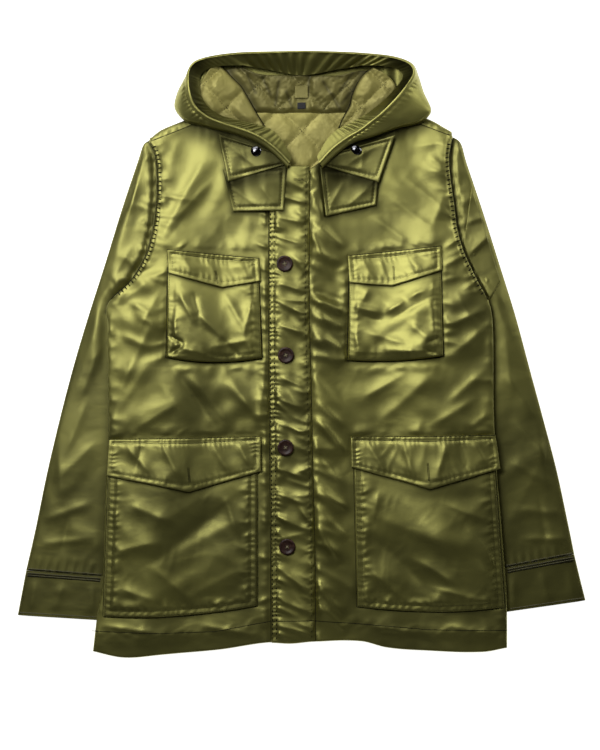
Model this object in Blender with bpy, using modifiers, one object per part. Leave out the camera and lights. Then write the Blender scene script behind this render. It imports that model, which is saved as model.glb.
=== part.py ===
"""A hooded field parka, laid flat on its back with its front up.

The frame: X runs across the garment, Y from hem to hood, Z up from the surface that it lies on.
Tables and heights are in millimetres and are turned into metres as each vertex is placed.
"right" and "left" are the wearer's, so the right side lies at -X.
"""

import math
from collections import namedtuple

import bmesh
import bpy
from mathutils import Vector

MM = 0.001
CENTRE_X = -0.5  # the sleeve ends' middle, moved onto the origin
CENTRE_Y = -0.1  # the middle between hem and hood, moved onto the origin

# ---------------------------------------------------------------- driving sizes
BODY_WALL = 4.0  # shell, wadding and lining of a body panel
BODY_GAP = 2.2  # air between the front and back panels
SIDE_GAP = 1.0  # the same at the side seams
SLEEVE_WALL = 3.0
SLEEVE_HEIGHT = 9.0  # a sleeve lying flat: two walls and 3 mm of air
SEAM = 0.3  # between pieces that are sewn edge to edge
ARMHOLE_GAP = 1.2  # between the back and the sleeves' ends
STACK = 0.5  # between pieces that lie on each other
PATCH_STACK = 0.9  # the same where both pieces are curved
FLAP_WALL = 2.2
QUILT_WALL = 3.0
QUILT_PITCH = 45.0  # between neighbouring quilting lines
QUILT_PUFF = 2.4  # how far a diamond rises over its lines
ARMHOLE_LAP = 8.0  # the body lies this far over the sleeve's end
BUTTON_RADIUS = 11.5
BUTTON_HEIGHT = 3.6
SNAP_RADIUS = 7.5

# ---------------------------------------------------------------- tables
EdgeRow = namedtuple("EdgeRow", "y right left")
LinePoint = namedtuple("LinePoint", "x y")
SleeveRow = namedtuple("SleeveRow", "outer_x outer_y inner_x inner_y")
HoodRow = namedtuple("HoodRow", "rim_x rim_y out_x out_y rim_z base_z")
LiningRow = namedtuple("LiningRow", "outer_x outer_y inner_x inner_y")
Fold = namedtuple("Fold", "x y angle length width height")
Pocket = namedtuple("Pocket", "left_top left_bottom right_top right_bottom top bottom_left bottom_mid bottom_right thick_top thick_bottom")
Flap = namedtuple("Flap", "left_top left_bottom right_top right_bottom top_left top_right end_left point_x point_y end_right")

# Distance of the body's outline from the middle, on the wearer's right and left.
BODY_EDGE = [
    EdgeRow(306, 219, 214),
    EdgeRow(280, 208, 210),
    EdgeRow(250, 206, 212),
    EdgeRow(215, 207, 217),
    EdgeRow(175, 212, 222),
    EdgeRow(140, 222, 233),
    EdgeRow(105, 243, 250),
    EdgeRow(73, 275, 266),
    EdgeRow(40, 276, 271),
    EdgeRow(-65, 275, 272),
    EdgeRow(-121, 275, 274),
    EdgeRow(-173, 278, 277),
    EdgeRow(-218, 280, 281),
    EdgeRow(-280, 281, 286),
    EdgeRow(-334, 284, 290),
    EdgeRow(-373, 291, 291),
    EdgeRow(-424, 297, 291),
]
HEM = [
    LinePoint(-298, -421),
    LinePoint(-254, -430),
    LinePoint(-203, -427),
    LinePoint(-118, -420),
    LinePoint(-50, -410),
    LinePoint(-16, -411),
    LinePoint(18, -408),
    LinePoint(84, -408),
    LinePoint(121, -417),
    LinePoint(172, -421),
    LinePoint(257, -422),
    LinePoint(292, -416),
]
# Shoulder seam and neckline, where the front panels end.
FRONT_TOP = [
    LinePoint(-219, 304),
    LinePoint(-185, 316),
    LinePoint(-156, 328),
    LinePoint(-105, 345),
    LinePoint(-88, 332),
    LinePoint(-66, 310),
    LinePoint(-40, 286),
    LinePoint(-8, 263),
    LinePoint(10, 263),
    LinePoint(40, 286),
    LinePoint(66, 310),
    LinePoint(88, 332),
    LinePoint(105, 347),
    LinePoint(161, 331),
    LinePoint(185, 322),
    LinePoint(214, 311),
]
# The shoulders' outline and the neck seam, where the back panel ends.
BACK_TOP = [
    LinePoint(-214, 309),
    LinePoint(-203, 318),
    LinePoint(-186, 326),
    LinePoint(-150, 339),
    LinePoint(-110, 348),
    LinePoint(-60, 347),
    LinePoint(60, 347),
    LinePoint(110, 350),
    LinePoint(150, 342),
    LinePoint(180, 335),
    LinePoint(206, 321),
    LinePoint(216, 315),
]
PLACKET_EDGE = [LinePoint(-45, 270), LinePoint(-47, 140), LinePoint(-46, -60), LinePoint(-45, -158), LinePoint(-43, -411)]
PLACKET_SEAM = [LinePoint(10, 270), LinePoint(9, 66), LinePoint(12, -60), LinePoint(14, -158), LinePoint(17, -281), LinePoint(18, -411)]
# Where the sleeve's upper end meets the back, as distances from the middle, in straight stretches.
ARMHOLE = [
    EdgeRow(304, 211, 206),
    EdgeRow(278, 200, 202),
    EdgeRow(240, 198, 205),
    EdgeRow(200, 200, 211),
    EdgeRow(158, 205, 213),
    EdgeRow(122, 205, 212),
    EdgeRow(78, 203, 207),
]
# How far up each point of the sleeve's end lies, in the order of RING.
SLEEVE_END_Y = [304, 300, 290, 278, 240, 200, 158, 122, 86, 78]
# Chords across each sleeve, from its outer fold to the fold hidden below the body.
RIGHT_SLEEVE = [
    SleeveRow(235, 272, 212, 50),
    SleeveRow(257, 206, 208, 16),
    SleeveRow(281, 128, 203, -18),
    SleeveRow(304, 56, 205, -54),
    SleeveRow(326, -18, 210, -100),
    SleeveRow(346, -95, 218, -152),
    SleeveRow(364, -172, 229, -206),
    SleeveRow(380, -250, 241, -266),
    SleeveRow(393, -307, 249, -318),
]
LEFT_SLEEVE = [
    SleeveRow(235, 272, 214, 50),
    SleeveRow(257, 206, 210, 16),
    SleeveRow(281, 130, 204, -18),
    SleeveRow(304, 56, 206, -56),
    SleeveRow(325, -22, 211, -104),
    SleeveRow(345, -96, 219, -152),
    SleeveRow(363, -165, 230, -204),
    SleeveRow(378, -235, 242, -263),
    SleeveRow(388, -284, 250, -310),
]
RIGHT_CUFF = [SleeveRow(393, -307.5, 249, -318.5), SleeveRow(399, -339, 253, -349), SleeveRow(405, -371, 257, -380)]
LEFT_CUFF = [SleeveRow(388, -284.5, 250, -310.5), SleeveRow(396, -318, 254, -343), SleeveRow(404, -350, 258, -371)]
# Where the body lies over the sleeve's hidden fold, as distances from the middle.
SLEEVE_FOLD = [EdgeRow(150, 211, 221), EdgeRow(78, 205, 208), EdgeRow(-18, 203, 204), EdgeRow(-100, 210, 211), EdgeRow(-206, 229, 230), EdgeRow(-318, 249, 252), EdgeRow(-430, 266, 268)]
# The hood's brim from the right throat round the top to the left throat: its rim, its widest line, and heights.
HOOD = [
    HoodRow(-17, 272, -20, 266, 29, 25),
    HoodRow(-38, 293, -40, 286, 30, 25),
    HoodRow(-63, 310, -64, 303, 31, 24),
    HoodRow(-92, 321, -93, 314, 32, 23.5),
    HoodRow(-112, 327, -115, 320, 34, 24),
    HoodRow(-134, 336, -142, 327, 36, 20),
    HoodRow(-150, 350, -166, 334, 38, 15),
    HoodRow(-157, 366, -179, 350, 40, 0),
    HoodRow(-160, 384, -175, 372, 40, 0),
    HoodRow(-159, 400, -163, 393, 39, 0),
    HoodRow(-150, 412, -152, 411, 37, 0),
    HoodRow(-128, 419, -131, 421, 35, 0),
    HoodRow(-90, 424, -91, 427, 33, 0),
    HoodRow(-45, 426, -45, 428, 32, 0),
    HoodRow(0, 427, 0, 428, 32, 0),
    HoodRow(45, 426, 45, 428, 32, 0),
    HoodRow(92, 423, 93, 426, 33, 0),
    HoodRow(130, 418, 132, 421, 35, 0),
    HoodRow(152, 409, 156, 411, 37, 0),
    HoodRow(157, 396, 164, 394, 39, 0),
    HoodRow(148, 380, 171, 372, 40, 0),
    HoodRow(134, 362, 181, 345, 40, 15),
    HoodRow(112, 340, 168, 332, 38, 15),
    HoodRow(98, 329, 138, 324, 35, 21),
    HoodRow(80, 316, 103, 312, 32, 24),
    HoodRow(62, 306, 72, 302, 30, 23),
    HoodRow(42, 291, 48, 285, 29, 24.5),
    HoodRow(24, 272, 28, 266, 28, 24.5),
]
# How far the satin facing runs in from the rim, at the same stations.
FACING_WIDTH = [6, 12, 16, 18, 18, 16, 14, 12, 12, 14, 17, 19, 23, 27, 28, 27, 22, 18, 14, 12, 12, 13, 15, 16, 17, 15, 11, 6]
RIGHT_EAR = [
    LiningRow(-60, 314, -50, 318),
    LiningRow(-98, 330, -64, 341),
    LiningRow(-124, 341, -75, 360),
    LiningRow(-140, 356, -87, 380),
    LiningRow(-146, 373, -99, 392),
    LiningRow(-141, 390, -108, 402),
    LiningRow(-130, 405, -118, 410),
]
LEFT_EAR = [
    LiningRow(64, 319, 53, 322),
    LiningRow(88, 331, 59, 336),
    LiningRow(106, 346, 68, 352),
    LiningRow(122, 362, 72, 368),
    LiningRow(133, 376, 80, 386),
    LiningRow(127, 390, 88, 397),
    LiningRow(112, 401, 100, 407),
]
HOOD_LINING_TOP = [LinePoint(-124, 398), LinePoint(-91, 408), LinePoint(-60, 398), LinePoint(0, 396), LinePoint(50, 396), LinePoint(86, 403), LinePoint(110, 396)]

CHEST_POCKETS = {
    "right": Pocket(-190, -192, -62, -57, 123, -4, -11, -5, 2.6, 9.0),
    "left": Pocket(68, 65, 197, 200, 126, -8, -9, -2, 2.6, 9.0),
}
LOWER_POCKETS = {
    "right": Pocket(-272, -281, -64, -64, -132, -371, -371, -357, 2.6, 2.6),
    "left": Pocket(74, 79, 271, 287, -132, -358, -365, -358, 2.6, 2.6),
}
CHEST_FLAPS = {
    "right": Flap(-192, -189, -61, -59, 149, 137, 115, -113, 95, 104),
    "left": Flap(65, 67, 198, 198, 141, 154, 102, 128, 97, 119),
}
LOWER_FLAPS = {
    "right": Flap(-274, -277, -58, -58, -120, -116, -172, -160, -195, -166),
    "left": Flap(69, 70, 274, 281, -117, -114, -160, 181, -191, -162),
}
BUTTONS = [LinePoint(-24.6, 129), LinePoint(-23, -1), LinePoint(-23.4, -132), LinePoint(-21, -273)]
SNAPS = {"right": LinePoint(-65, 288), "left": LinePoint(77, 290)}

# Corners of the throat flaps: neck side top and bottom, then shoulder side top and bottom.
ThroatFlap = namedtuple("ThroatFlap", "neck_top neck_bottom outer_top outer_bottom lift curl")
THROAT_FLAPS = {
    "throat_flap_lower_right": ThroatFlap((-21, 268), (-26, 204), (-112, 262), (-98, 203), 0.0, 2.0),
    "throat_flap_lower_left": ThroatFlap((25, 267), (34, 196), (111, 262), (105, 212), 0.3, 2.0),
    "throat_flap_upper_right": ThroatFlap((-30, 283), (-18, 270), (-119, 313), (-105, 245), 3.4, 2.6),
    "throat_flap_upper_left": ThroatFlap((38, 283), (25, 269), (132, 311), (109, 244), 3.4, 2.6),
}

# The largest folds of the fronts, as soft ridges (height above 0) and troughs (below 0).
FRONT_FOLDS = [
    Fold(-158, 232, 63, 150, 30, 2.4),
    Fold(-112, 238, 66, 110, 26, 1.8),
    Fold(-240, 92, 12, 70, 22, 2.2),
    Fold(-232, 40, -22, 80, 24, 2.4),
    Fold(-236, -20, 14, 90, 26, 1.8),
    Fold(-150, -42, -12, 150, 30, 1.8),
    Fold(-215, -80, 24, 100, 28, 1.7),
    Fold(-95, -78, 32, 90, 26, 1.6),
    Fold(-200, -400, 6, 130, 20, 1.3),
    Fold(44, 232, -38, 80, 24, 1.9),
    Fold(40, 150, -42, 70, 24, 2.2),
    Fold(44, 72, -36, 70, 24, 2.4),
    Fold(44, 10, -48, 80, 26, 2.4),
    Fold(46, -82, -52, 100, 26, 2.8),
    Fold(44, -170, -55, 90, 24, 2.4),
    Fold(46, -262, -58, 100, 24, 2.4),
    Fold(50, -345, -56, 90, 24, 2.2),
    Fold(160, 222, -35, 130, 28, 2.2),
    Fold(196, 250, -40, 80, 24, 1.6),
    Fold(232, 80, 30, 90, 26, 1.9),
    Fold(236, 10, 22, 90, 28, 1.8),
    Fold(150, -44, 10, 150, 30, 1.8),
    Fold(200, -84, -24, 110, 28, 1.7),
    Fold(100, -80, -40, 90, 26, 1.7),
    Fold(220, -396, -6, 120, 20, 1.2),
]
CHEST_POCKET_FOLDS = [
    Fold(-150, 70, -48, 90, 22, 1.6),
    Fold(-100, 40, -36, 110, 24, 2.0),
    Fold(-130, 16, -24, 100, 20, 1.6),
    Fold(112, 78, -30, 90, 22, 1.5),
    Fold(160, 62, 34, 110, 24, 2.0),
    Fold(120, 24, 40, 90, 20, -1.4),
    Fold(176, 24, 38, 70, 18, 1.8),
]
LOWER_POCKET_FOLDS = [
    Fold(-235, -262, -22, 110, 30, 1.8),
    Fold(-120, -292, 34, 170, 36, 2.0),
    Fold(-180, -332, 24, 120, 26, 1.3),
    Fold(-150, -232, 40, 120, 30, 1.2),
    Fold(150, -232, -28, 160, 34, 2.0),
    Fold(225, -268, -20, 120, 28, 1.8),
    Fold(130, -318, -30, 110, 30, 1.3),
]
SLEEVE_FOLDS = [
    Fold(-250, 190, 72, 170, 24, 1.4),
    Fold(-300, 10, 66, 190, 28, 1.3),
    Fold(-330, -180, 52, 130, 30, 1.5),
    Fold(-300, -262, -30, 110, 26, 1.4),
    Fold(262, 170, 40, 70, 22, 1.6),
    Fold(300, 60, -66, 170, 30, 1.3),
    Fold(322, -150, 30, 120, 28, 1.4),
    Fold(350, -240, -72, 130, 26, 1.3),
]


# ---------------------------------------------------------------- small functions
def ease(low, high, value):
    """0 before low, 1 past high, and a smooth change between."""
    t = min(1.0, max(0.0, (value - low) / (high - low)))
    return t * t * (3.0 - 2.0 * t)


def mix(a, b, share):
    return a + (b - a) * share


def through(rows, key, column, at):
    """A smooth line through one column of a table, read where the key column equals at."""
    rows = sorted(rows, key=lambda row: getattr(row, key))
    keys = [getattr(row, key) for row in rows]
    values = [getattr(row, column) for row in rows]
    if at <= keys[0]:
        return values[0]
    if at >= keys[-1]:
        return values[-1]
    i = next(n for n in range(len(keys) - 1) if at <= keys[n + 1])
    span = keys[i + 1] - keys[i]

    def slope(n):
        low, high = max(n - 1, 0), min(n + 1, len(keys) - 1)
        return (values[high] - values[low]) / (keys[high] - keys[low])

    t = (at - keys[i]) / span
    start, end = slope(i) * span, slope(i + 1) * span
    return (
        (2 * t**3 - 3 * t**2 + 1) * values[i]
        + (t**3 - 2 * t**2 + t) * start
        + (3 * t**2 - 2 * t**3) * values[i + 1]
        + (t**3 - t**2) * end
    )


def along(rows, share):
    """A row between the rows of a table, share running from 0 at the first to 1 at the last."""
    place = share * (len(rows) - 1)
    i = min(int(place), len(rows) - 2)
    return [mix(a, b, place - i) for a, b in zip(rows[i], rows[i + 1])]


def fold_height(folds, x, y):
    """The sum of soft ridges and troughs, each fading out at its ends."""
    total = 0.0
    for fold in folds:
        turn = math.radians(fold.angle)
        dx, dy = x - fold.x, y - fold.y
        on_line = (dx * math.cos(turn) + dy * math.sin(turn)) / (fold.length / 2)
        off_line = (dy * math.cos(turn) - dx * math.sin(turn)) / (fold.width / 2)
        if abs(on_line) < 1.4:
            total += fold.height * math.exp(-off_line * off_line) * (1 - ease(0.3, 1.4, abs(on_line)))
    return total


def straight(rows, key, column, at):
    """Reads a column in straight stretches, as a seam between two rows of vertices needs."""
    rows = sorted(rows, key=lambda row: getattr(row, key))
    at = min(getattr(rows[-1], key), max(getattr(rows[0], key), at))
    i = next(n for n in range(len(rows) - 1) if at <= getattr(rows[n + 1], key))
    low, high = getattr(rows[i], key), getattr(rows[i + 1], key)
    return mix(getattr(rows[i], column), getattr(rows[i + 1], column), (at - low) / (high - low))


def side_of(x):
    return "right" if x < 0 else "left"


def body_edge(side, y):
    return through(BODY_EDGE, "y", side, y)


# ---------------------------------------------------------------- how high each layer lies
def body_lift(x, y):
    """How far the back panel is raised by the sleeve that lies below its side."""
    fold = through(SLEEVE_FOLD, "y", side_of(x), y)
    return (SLEEVE_HEIGHT + 0.9) * ease(fold - 105, fold - 28, abs(x)) * (1 - ease(158, 215, y))


def back_top(x, y):
    return body_lift(x, y) + BODY_WALL


def pocket_share(pocket, x, y):
    """Where a point lies in a pocket: 0 to 1 from left to right and from bottom to mouth."""
    up = (y - pocket.bottom_mid) / (pocket.top - pocket.bottom_mid)
    left = mix(pocket.left_bottom, pocket.left_top, up)
    right = mix(pocket.right_bottom, pocket.right_top, up)
    return (x - left) / (right - left), up


def under_pocket(x, y):
    """1 well inside any pocket's outline and 0 outside it, to smooth the panel below."""
    best = 0.0
    for pocket in [*CHEST_POCKETS.values(), *LOWER_POCKETS.values()]:
        across, up = pocket_share(pocket, x, y)
        inside = ease(-0.12, 0.02, across) * ease(-0.12, 0.02, 1 - across)
        best = max(best, inside * ease(-0.1, 0.0, up) * ease(-0.16, -0.04, 1 - up))
    return best


def front_top(x, y):
    """The upper face of a front panel."""
    side = side_of(x)
    to_edge = body_edge(side, y) - abs(x)
    to_neck = through(FRONT_TOP, "x", "y", x) - y
    gap = mix(SIDE_GAP, BODY_GAP, ease(0, 40, to_edge))
    base = back_top(x, y) + gap
    over_sleeve = SLEEVE_HEIGHT + 0.8
    if y > 60 and base < over_sleeve:
        base = mix(base, over_sleeve, 1 - ease(14, 55, to_edge))
    if abs(x) < 150:
        base += 3.2 * (1 - ease(16, 60, to_neck))
    if x > 0:
        seam = through(PLACKET_SEAM, "y", "x", y)
        base += (BODY_WALL + STACK) * (1 - ease(4, 46, x - seam))
    free = ease(2, 26, to_edge) * ease(8, 40, to_neck) * (1 - under_pocket(x, y))
    if x < 0:
        free *= ease(48, 64, -x)
    else:
        free *= ease(12, 24, x)
    return base + BODY_WALL + free * fold_height(FRONT_FOLDS, x, y)


def chest_pad(pocket, x, y):
    """Thickness of a bellows pocket's folded cloth above the panel, thick at its hanging bottom."""
    across, up = pocket_share(pocket, x, y)
    thick = mix(pocket.thick_bottom, pocket.thick_top, ease(0.0, 0.95, up))
    border = min(across, 1 - across) * 130
    rounding = 1 - 0.3 * (1 - ease(0, 10, border)) - 0.3 * (1 - ease(0, 10, up * 140))
    return max(2.2, thick * rounding) + ease(0, 22, border) * fold_height(CHEST_POCKET_FOLDS, x, y)


def lower_pad(pocket, x, y):
    across, up = pocket_share(pocket, x, y)
    border = min(across, 1 - across) * 205
    belly = 1.2 * ease(4, 60, border) * ease(0.02, 0.3, up)
    return pocket.thick_bottom + belly + ease(4, 30, border) * ease(0.02, 0.12, up) * fold_height(LOWER_POCKET_FOLDS, x, y)


def pocket_top(x, y):
    """The highest cloth at a point, pockets included, for what lies over them."""
    side = side_of(x)
    height = front_top(x, y)
    for pocket, pad in ((CHEST_POCKETS[side], chest_pad), (LOWER_POCKETS[side], lower_pad)):
        across, up = pocket_share(pocket, x, y)
        if -0.06 < across < 1.06 and up > -0.02:
            held_x = min(0.985, max(0.015, across))
            over = 1 - ease(1.0, 1.06, up)
            height = max(height, front_top(x, y) + over * (PATCH_STACK + pad(pocket, x + (held_x - across) * 150, y)))
    return height


# ---------------------------------------------------------------- making solids
def material(name, colour, roughness, metallic=0.0):
    made = bpy.data.materials.new(name)
    made.use_nodes = True
    shader = made.node_tree.nodes["Principled BSDF"]
    shader.inputs["Base Color"].default_value = (*colour, 1.0)
    shader.inputs["Roughness"].default_value = roughness
    shader.inputs["Metallic"].default_value = metallic
    return made


def finish(bm, name, finish_material, smooth_angle=50):
    """Turns a bmesh into a named object of the parka."""
    mesh = bpy.data.meshes.new(name)
    bm.to_mesh(mesh)
    bm.free()
    mesh.materials.append(finish_material)
    mesh.shade_smooth()
    mesh.set_sharp_from_angle(angle=math.radians(smooth_angle))
    made = bpy.data.objects.new(name, mesh)
    PARKA.objects.link(made)
    return made


def placed(x, y, z):
    return Vector(((x - CENTRE_X) * MM, (y - CENTRE_Y) * MM, z * MM))


def layer(name, columns, rows, plan, low, high, cloth):
    """A piece of cloth between two heights: a grid laid in plan, extruded, each face set to its height."""
    bm = bmesh.new()
    bmesh.ops.create_grid(bm, x_segments=columns, y_segments=rows, size=0.5)
    below = list(bm.verts)
    shares = {v: (v.co.x + 0.5, v.co.y + 0.5) for v in below}
    grown = bmesh.ops.extrude_face_region(bm, geom=bm.faces[:], use_keep_orig=True)
    above = [item for item in grown["geom"] if isinstance(item, bmesh.types.BMVert)]
    for group, height in ((below, low), (above, high)):
        for vert in group:
            u, v = shares[vert] if vert in shares else (vert.co.x + 0.5, vert.co.y + 0.5)
            x, y = plan(u, v)
            vert.co = placed(x, y, height(x, y))
    bmesh.ops.recalc_face_normals(bm, faces=bm.faces[:])
    return finish(bm, name, cloth)


def sheet(name, columns, rows, point, cloth, wall, outward=-1.0, closed=False):
    """A sheet laid through points in space and given its wall by Solidify."""
    bm = bmesh.new()
    bmesh.ops.create_grid(bm, x_segments=columns, y_segments=rows, size=0.5)
    for vert in bm.verts:
        vert.co = placed(*point(vert.co.x + 0.5, vert.co.y + 0.5))
    if closed:
        bmesh.ops.remove_doubles(bm, verts=bm.verts[:], dist=0.00005)
    made = finish(bm, name, cloth)
    solid = made.modifiers.new("wall", "SOLIDIFY")
    solid.thickness = wall * MM
    solid.offset = outward
    return made


def panel_plan(left, right, bottom, top):
    """Places a grid between a left and a right edge (x by height) and a bottom and top line (y by x)."""

    def plan(u, v):
        y_left = mix(bottom(left(-420)), top(left(300)), v)
        y_right = mix(bottom(right(-420)), top(right(300)), v)
        x = mix(left(y_left), right(y_right), u)
        x_low = mix(left(bottom(left(-420))), right(bottom(right(-420))), u)
        x_high = mix(left(top(left(300))), right(top(right(300))), u)
        return x, mix(bottom(x_low), top(x_high), v)

    return plan


def hem_y(x):
    return through(HEM, "x", "y", x)


def front_top_y(x):
    return through(FRONT_TOP, "x", "y", x)


def placket_edge_x(y):
    return through(PLACKET_EDGE, "y", "x", y)


def placket_seam_x(y):
    return through(PLACKET_SEAM, "y", "x", y)


# ---------------------------------------------------------------- body
def make_back(cloth):
    """The back stops at the armholes above the underarm and runs on over the sleeves below it."""
    levels = sorted([-421, -382, -340, -300, -255, -210, -165, -120, -75, -30, 15, 58, 95, 140, 311] + [row.y for row in ARMHOLE if row.y > 140])

    def edge(side, y):
        if y >= 158:
            return straight(ARMHOLE, "y", side, y) - ARMHOLE_GAP
        return mix(straight(ARMHOLE, "y", side, 158) - ARMHOLE_GAP, body_edge(side, y) - 0.6, ease(158, 132, y) if y > 132 else 1.0)

    def plan(u, v):
        level = levels[round(v * (len(levels) - 1))]
        x = mix(-edge("right", level), edge("left", level), u)
        end = 1.0 if level == levels[-1] else ease(100, 311, level) * (1 - abs(2 * u - 1) ** 6)
        hem = 1 - ease(-421, -200, level)
        y = level + end * (through(BACK_TOP, "x", "y", x) - 311) + hem * (hem_y(x) + 1.5 + 421)
        return x, y

    layer("back", 16, len(levels) - 1, plan, body_lift, back_top, cloth)


def make_fronts(cloth):
    right = panel_plan(lambda y: -body_edge("right", y), lambda y: -10.0, hem_y, front_top_y)
    left = panel_plan(lambda y: placket_seam_x(y) + SEAM, lambda y: body_edge("left", y), hem_y, front_top_y)
    for name, plan in (("front_right", right), ("front_left", left)):
        layer(name, 13, 21, plan, lambda x, y: front_top(x, y) - BODY_WALL, front_top, cloth)


def placket_top(x, y):
    """The placket lies on the right front and runs level with the left front at its seam."""
    seam = placket_seam_x(y)
    low = front_top(-12.0, y) + STACK + BODY_WALL
    return mix(low, front_top(seam + SEAM, y), ease(-8, seam, x)) + 0.6 * math.sin(y / 13.0) * ease(-42, -30, x) * ease(0, 16, seam - x)


def make_placket(cloth):
    plan = panel_plan(placket_edge_x, lambda y: placket_seam_x(y) - SEAM, hem_y, lambda x: 268.0)
    layer("placket", 4, 26, plan, lambda x, y: placket_top(x, y) - BODY_WALL + 0.6, placket_top, cloth)


def make_yokes(cloth):
    """The back's shoulder, which turns over to meet each front at a forward seam."""
    for side, sign, first, last in (("right", -1, 209, 118), ("left", 1, 205, 118)):

        def point(u, v, sign=sign, first=first, last=last):
            x = sign * mix(first, last, u if sign < 0 else 1 - u)
            seam, fold = front_top_y(x) + 3 * SEAM, through(BACK_TOP, "x", "y", x)
            top = front_top(x, seam)
            turn = v * math.pi / 2
            y = mix(seam, fold, math.sin(turn))
            return x, y, mix(BODY_WALL + STACK + 2.4, top, math.cos(turn) ** 0.7 if v < 1 else 0.0)

        sheet(f"yoke_{side}", 10, 4, point, cloth, 2.2)


# ---------------------------------------------------------------- sleeves
RING = [0.0, 0.014, 0.07, 0.22, 0.42, 0.62, 0.82, 0.95, 0.988, 1.0]


def sleeve_ring_point(share):
    """Round a flattened tube: across the upper layer, then back along the lower one, as (across, height share)."""
    steps = len(RING) - 1
    place = share * 2 * steps
    upper = place <= steps
    across = RING[round(place)] if upper else RING[2 * steps - round(place)]
    bulge = math.sqrt(max(0.0, 1 - abs(2 * across - 1) ** 9))
    return across, 0.5 + 0.5 * bulge if upper else 0.5 - 0.5 * bulge


def sleeve_plan(side, rows, with_end):
    """Where a point lies, by its share across the sleeve and along it."""

    def plan(across, down):
        count = len(rows) - 1 + (1 if with_end else 0)
        place = down * count
        if with_end and place < 1:
            y = SLEEVE_END_Y[RING.index(across)] if across in RING else mix(304, 78, across)
            end = (straight(ARMHOLE, "y", side, y), y)
            row = rows[0]
            chord = (mix(row.outer_x, row.inner_x, across), mix(row.outer_y, row.inner_y, across))
            return mix(end[0], chord[0], place), mix(end[1], chord[1], place)
        row = along(rows, (place - (1 if with_end else 0)) / (len(rows) - 1))
        return mix(row[0], row[2], across), mix(row[1], row[3], across)

    return plan


def sleeve_top(sign, x, y):
    return SLEEVE_HEIGHT + fold_height(SLEEVE_FOLDS, sign * x, y)


def make_sleeves(cloth):
    parts = (
        ("sleeve_right", "right", RIGHT_SLEEVE, True, 15),
        ("sleeve_left", "left", LEFT_SLEEVE, True, 15),
        ("cuff_right", "right", RIGHT_CUFF, False, 3),
        ("cuff_left", "left", LEFT_CUFF, False, 3),
    )
    for name, side, rows, with_end, rings in parts:
        sign = -1 if side == "right" else 1
        plan = sleeve_plan(side, rows, with_end)

        def point(u, v, sign=sign, plan=plan, with_end=with_end, side=side):
            across, height = sleeve_ring_point(u)
            x, y = plan(across, v)
            low_end = 1 - ease(0.0, 0.06, v) if with_end else 0.0
            fold = fold_height(SLEEVE_FOLDS, sign * x, y) * ease(0.5, 1.0, height)
            clear = ease(0, 14, x - body_edge(side, y))
            return sign * x, y, SLEEVE_HEIGHT * height + fold * clear * (1 - low_end) * ease(0.0, 0.12, across)

        sheet(name, 2 * (len(RING) - 1), rings, point, cloth, SLEEVE_WALL, closed=True, outward=-1.0 if sign > 0 else 1.0)


def make_arm_pocket(cloth):
    """The patch on the left upper arm, made from the sleeve's own points and moved out."""
    plan = sleeve_plan("left", LEFT_SLEEVE, True)

    def spot(u, v):
        """From the front panel's edge at u 0 to the sleeve's outer fold at u 1."""
        down = mix(0.36, 0.155, v)
        shares = [0.06 + 0.004 * step for step in range(200)]
        near = next(share for share in shares if plan(share, down)[0] < body_edge("left", plan(share, down)[1]) + 2.5)
        return plan(mix(near - 0.01, 0.055, u), down)

    def low(x, y):
        return SLEEVE_HEIGHT + STACK + max(0.0, fold_height(SLEEVE_FOLDS, x, y))

    layer("arm_pocket", 6, 8, spot, low, lambda x, y: low(x, y) + 1.6, cloth)


# ---------------------------------------------------------------- pockets and flaps
def pocket_plan(pocket):
    def plan(u, v):
        x = mix(mix(pocket.left_bottom, pocket.right_bottom, u), mix(pocket.left_top, pocket.right_top, u), v)
        ends = mix(pocket.bottom_left, pocket.bottom_right, u)
        bottom = ends + (pocket.bottom_mid - (pocket.bottom_left + pocket.bottom_right) / 2) * 4 * u * (1 - u)
        return x, mix(bottom, pocket.top, v)

    return plan


def make_pockets(cloth):
    for pockets, label, pad, columns, rows in ((CHEST_POCKETS, "chest", chest_pad, 9, 9), (LOWER_POCKETS, "lower", lower_pad, 10, 10)):
        for side, pocket in pockets.items():

            def low(x, y):
                return front_top(x, y) + PATCH_STACK

            def high(x, y, pocket=pocket, pad=pad):
                return front_top(x, y) + PATCH_STACK + pad(pocket, x, y)

            layer(f"{label}_pocket_{side}", columns, rows, pocket_plan(pocket), low, high, cloth)


def flap_plan(flap):
    """A flap's outline: straight sides and a lower edge that runs down to a point."""
    tip = (flap.point_x - flap.left_bottom) / (flap.right_bottom - flap.left_bottom)

    def plan(u, v):
        bottom = mix(flap.end_left, flap.point_y, u / tip) if u < tip else mix(flap.point_y, flap.end_right, (u - tip) / (1 - tip))
        x = mix(mix(flap.left_bottom, flap.right_bottom, u), mix(flap.left_top, flap.right_top, u), v)
        return x, mix(bottom, mix(flap.top_left, flap.top_right, u), v)

    return plan, tip


def make_flaps(cloth):
    for flaps, label, spring in ((CHEST_FLAPS, "chest", 1.6), (LOWER_FLAPS, "lower", 1.0)):
        for side, flap in flaps.items():
            plan, _ = flap_plan(flap)

            def low(x, y, flap=flap, spring=spring):
                share = (x - flap.left_top) / (flap.right_top - flap.left_top)
                down = mix(flap.top_left, flap.top_right, share) - y
                return mix(front_top(x, y) + PATCH_STACK, pocket_top(x, y) + PATCH_STACK, ease(0, 5, down)) + spring * ease(10, 45, down)

            layer(f"{label}_flap_{side}", 10, 5, plan, low, lambda x, y, low=low: low(x, y) + FLAP_WALL, cloth)


def throat_rest(x, y):
    """What a lower throat flap lies on: the front, and towards the middle the placket."""
    if x > 0:
        return front_top(x, y)
    return mix(front_top(x, y), placket_top(max(x, -44.0), y), ease(-84, -50, x))


def throat_low(flap, x, y):
    away = math.hypot(x - flap.neck_top[0], y - flap.neck_top[1])
    return throat_rest(x, y) + PATCH_STACK + 0.1 + flap.lift + flap.curl * ease(25, 100, away)


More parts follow.
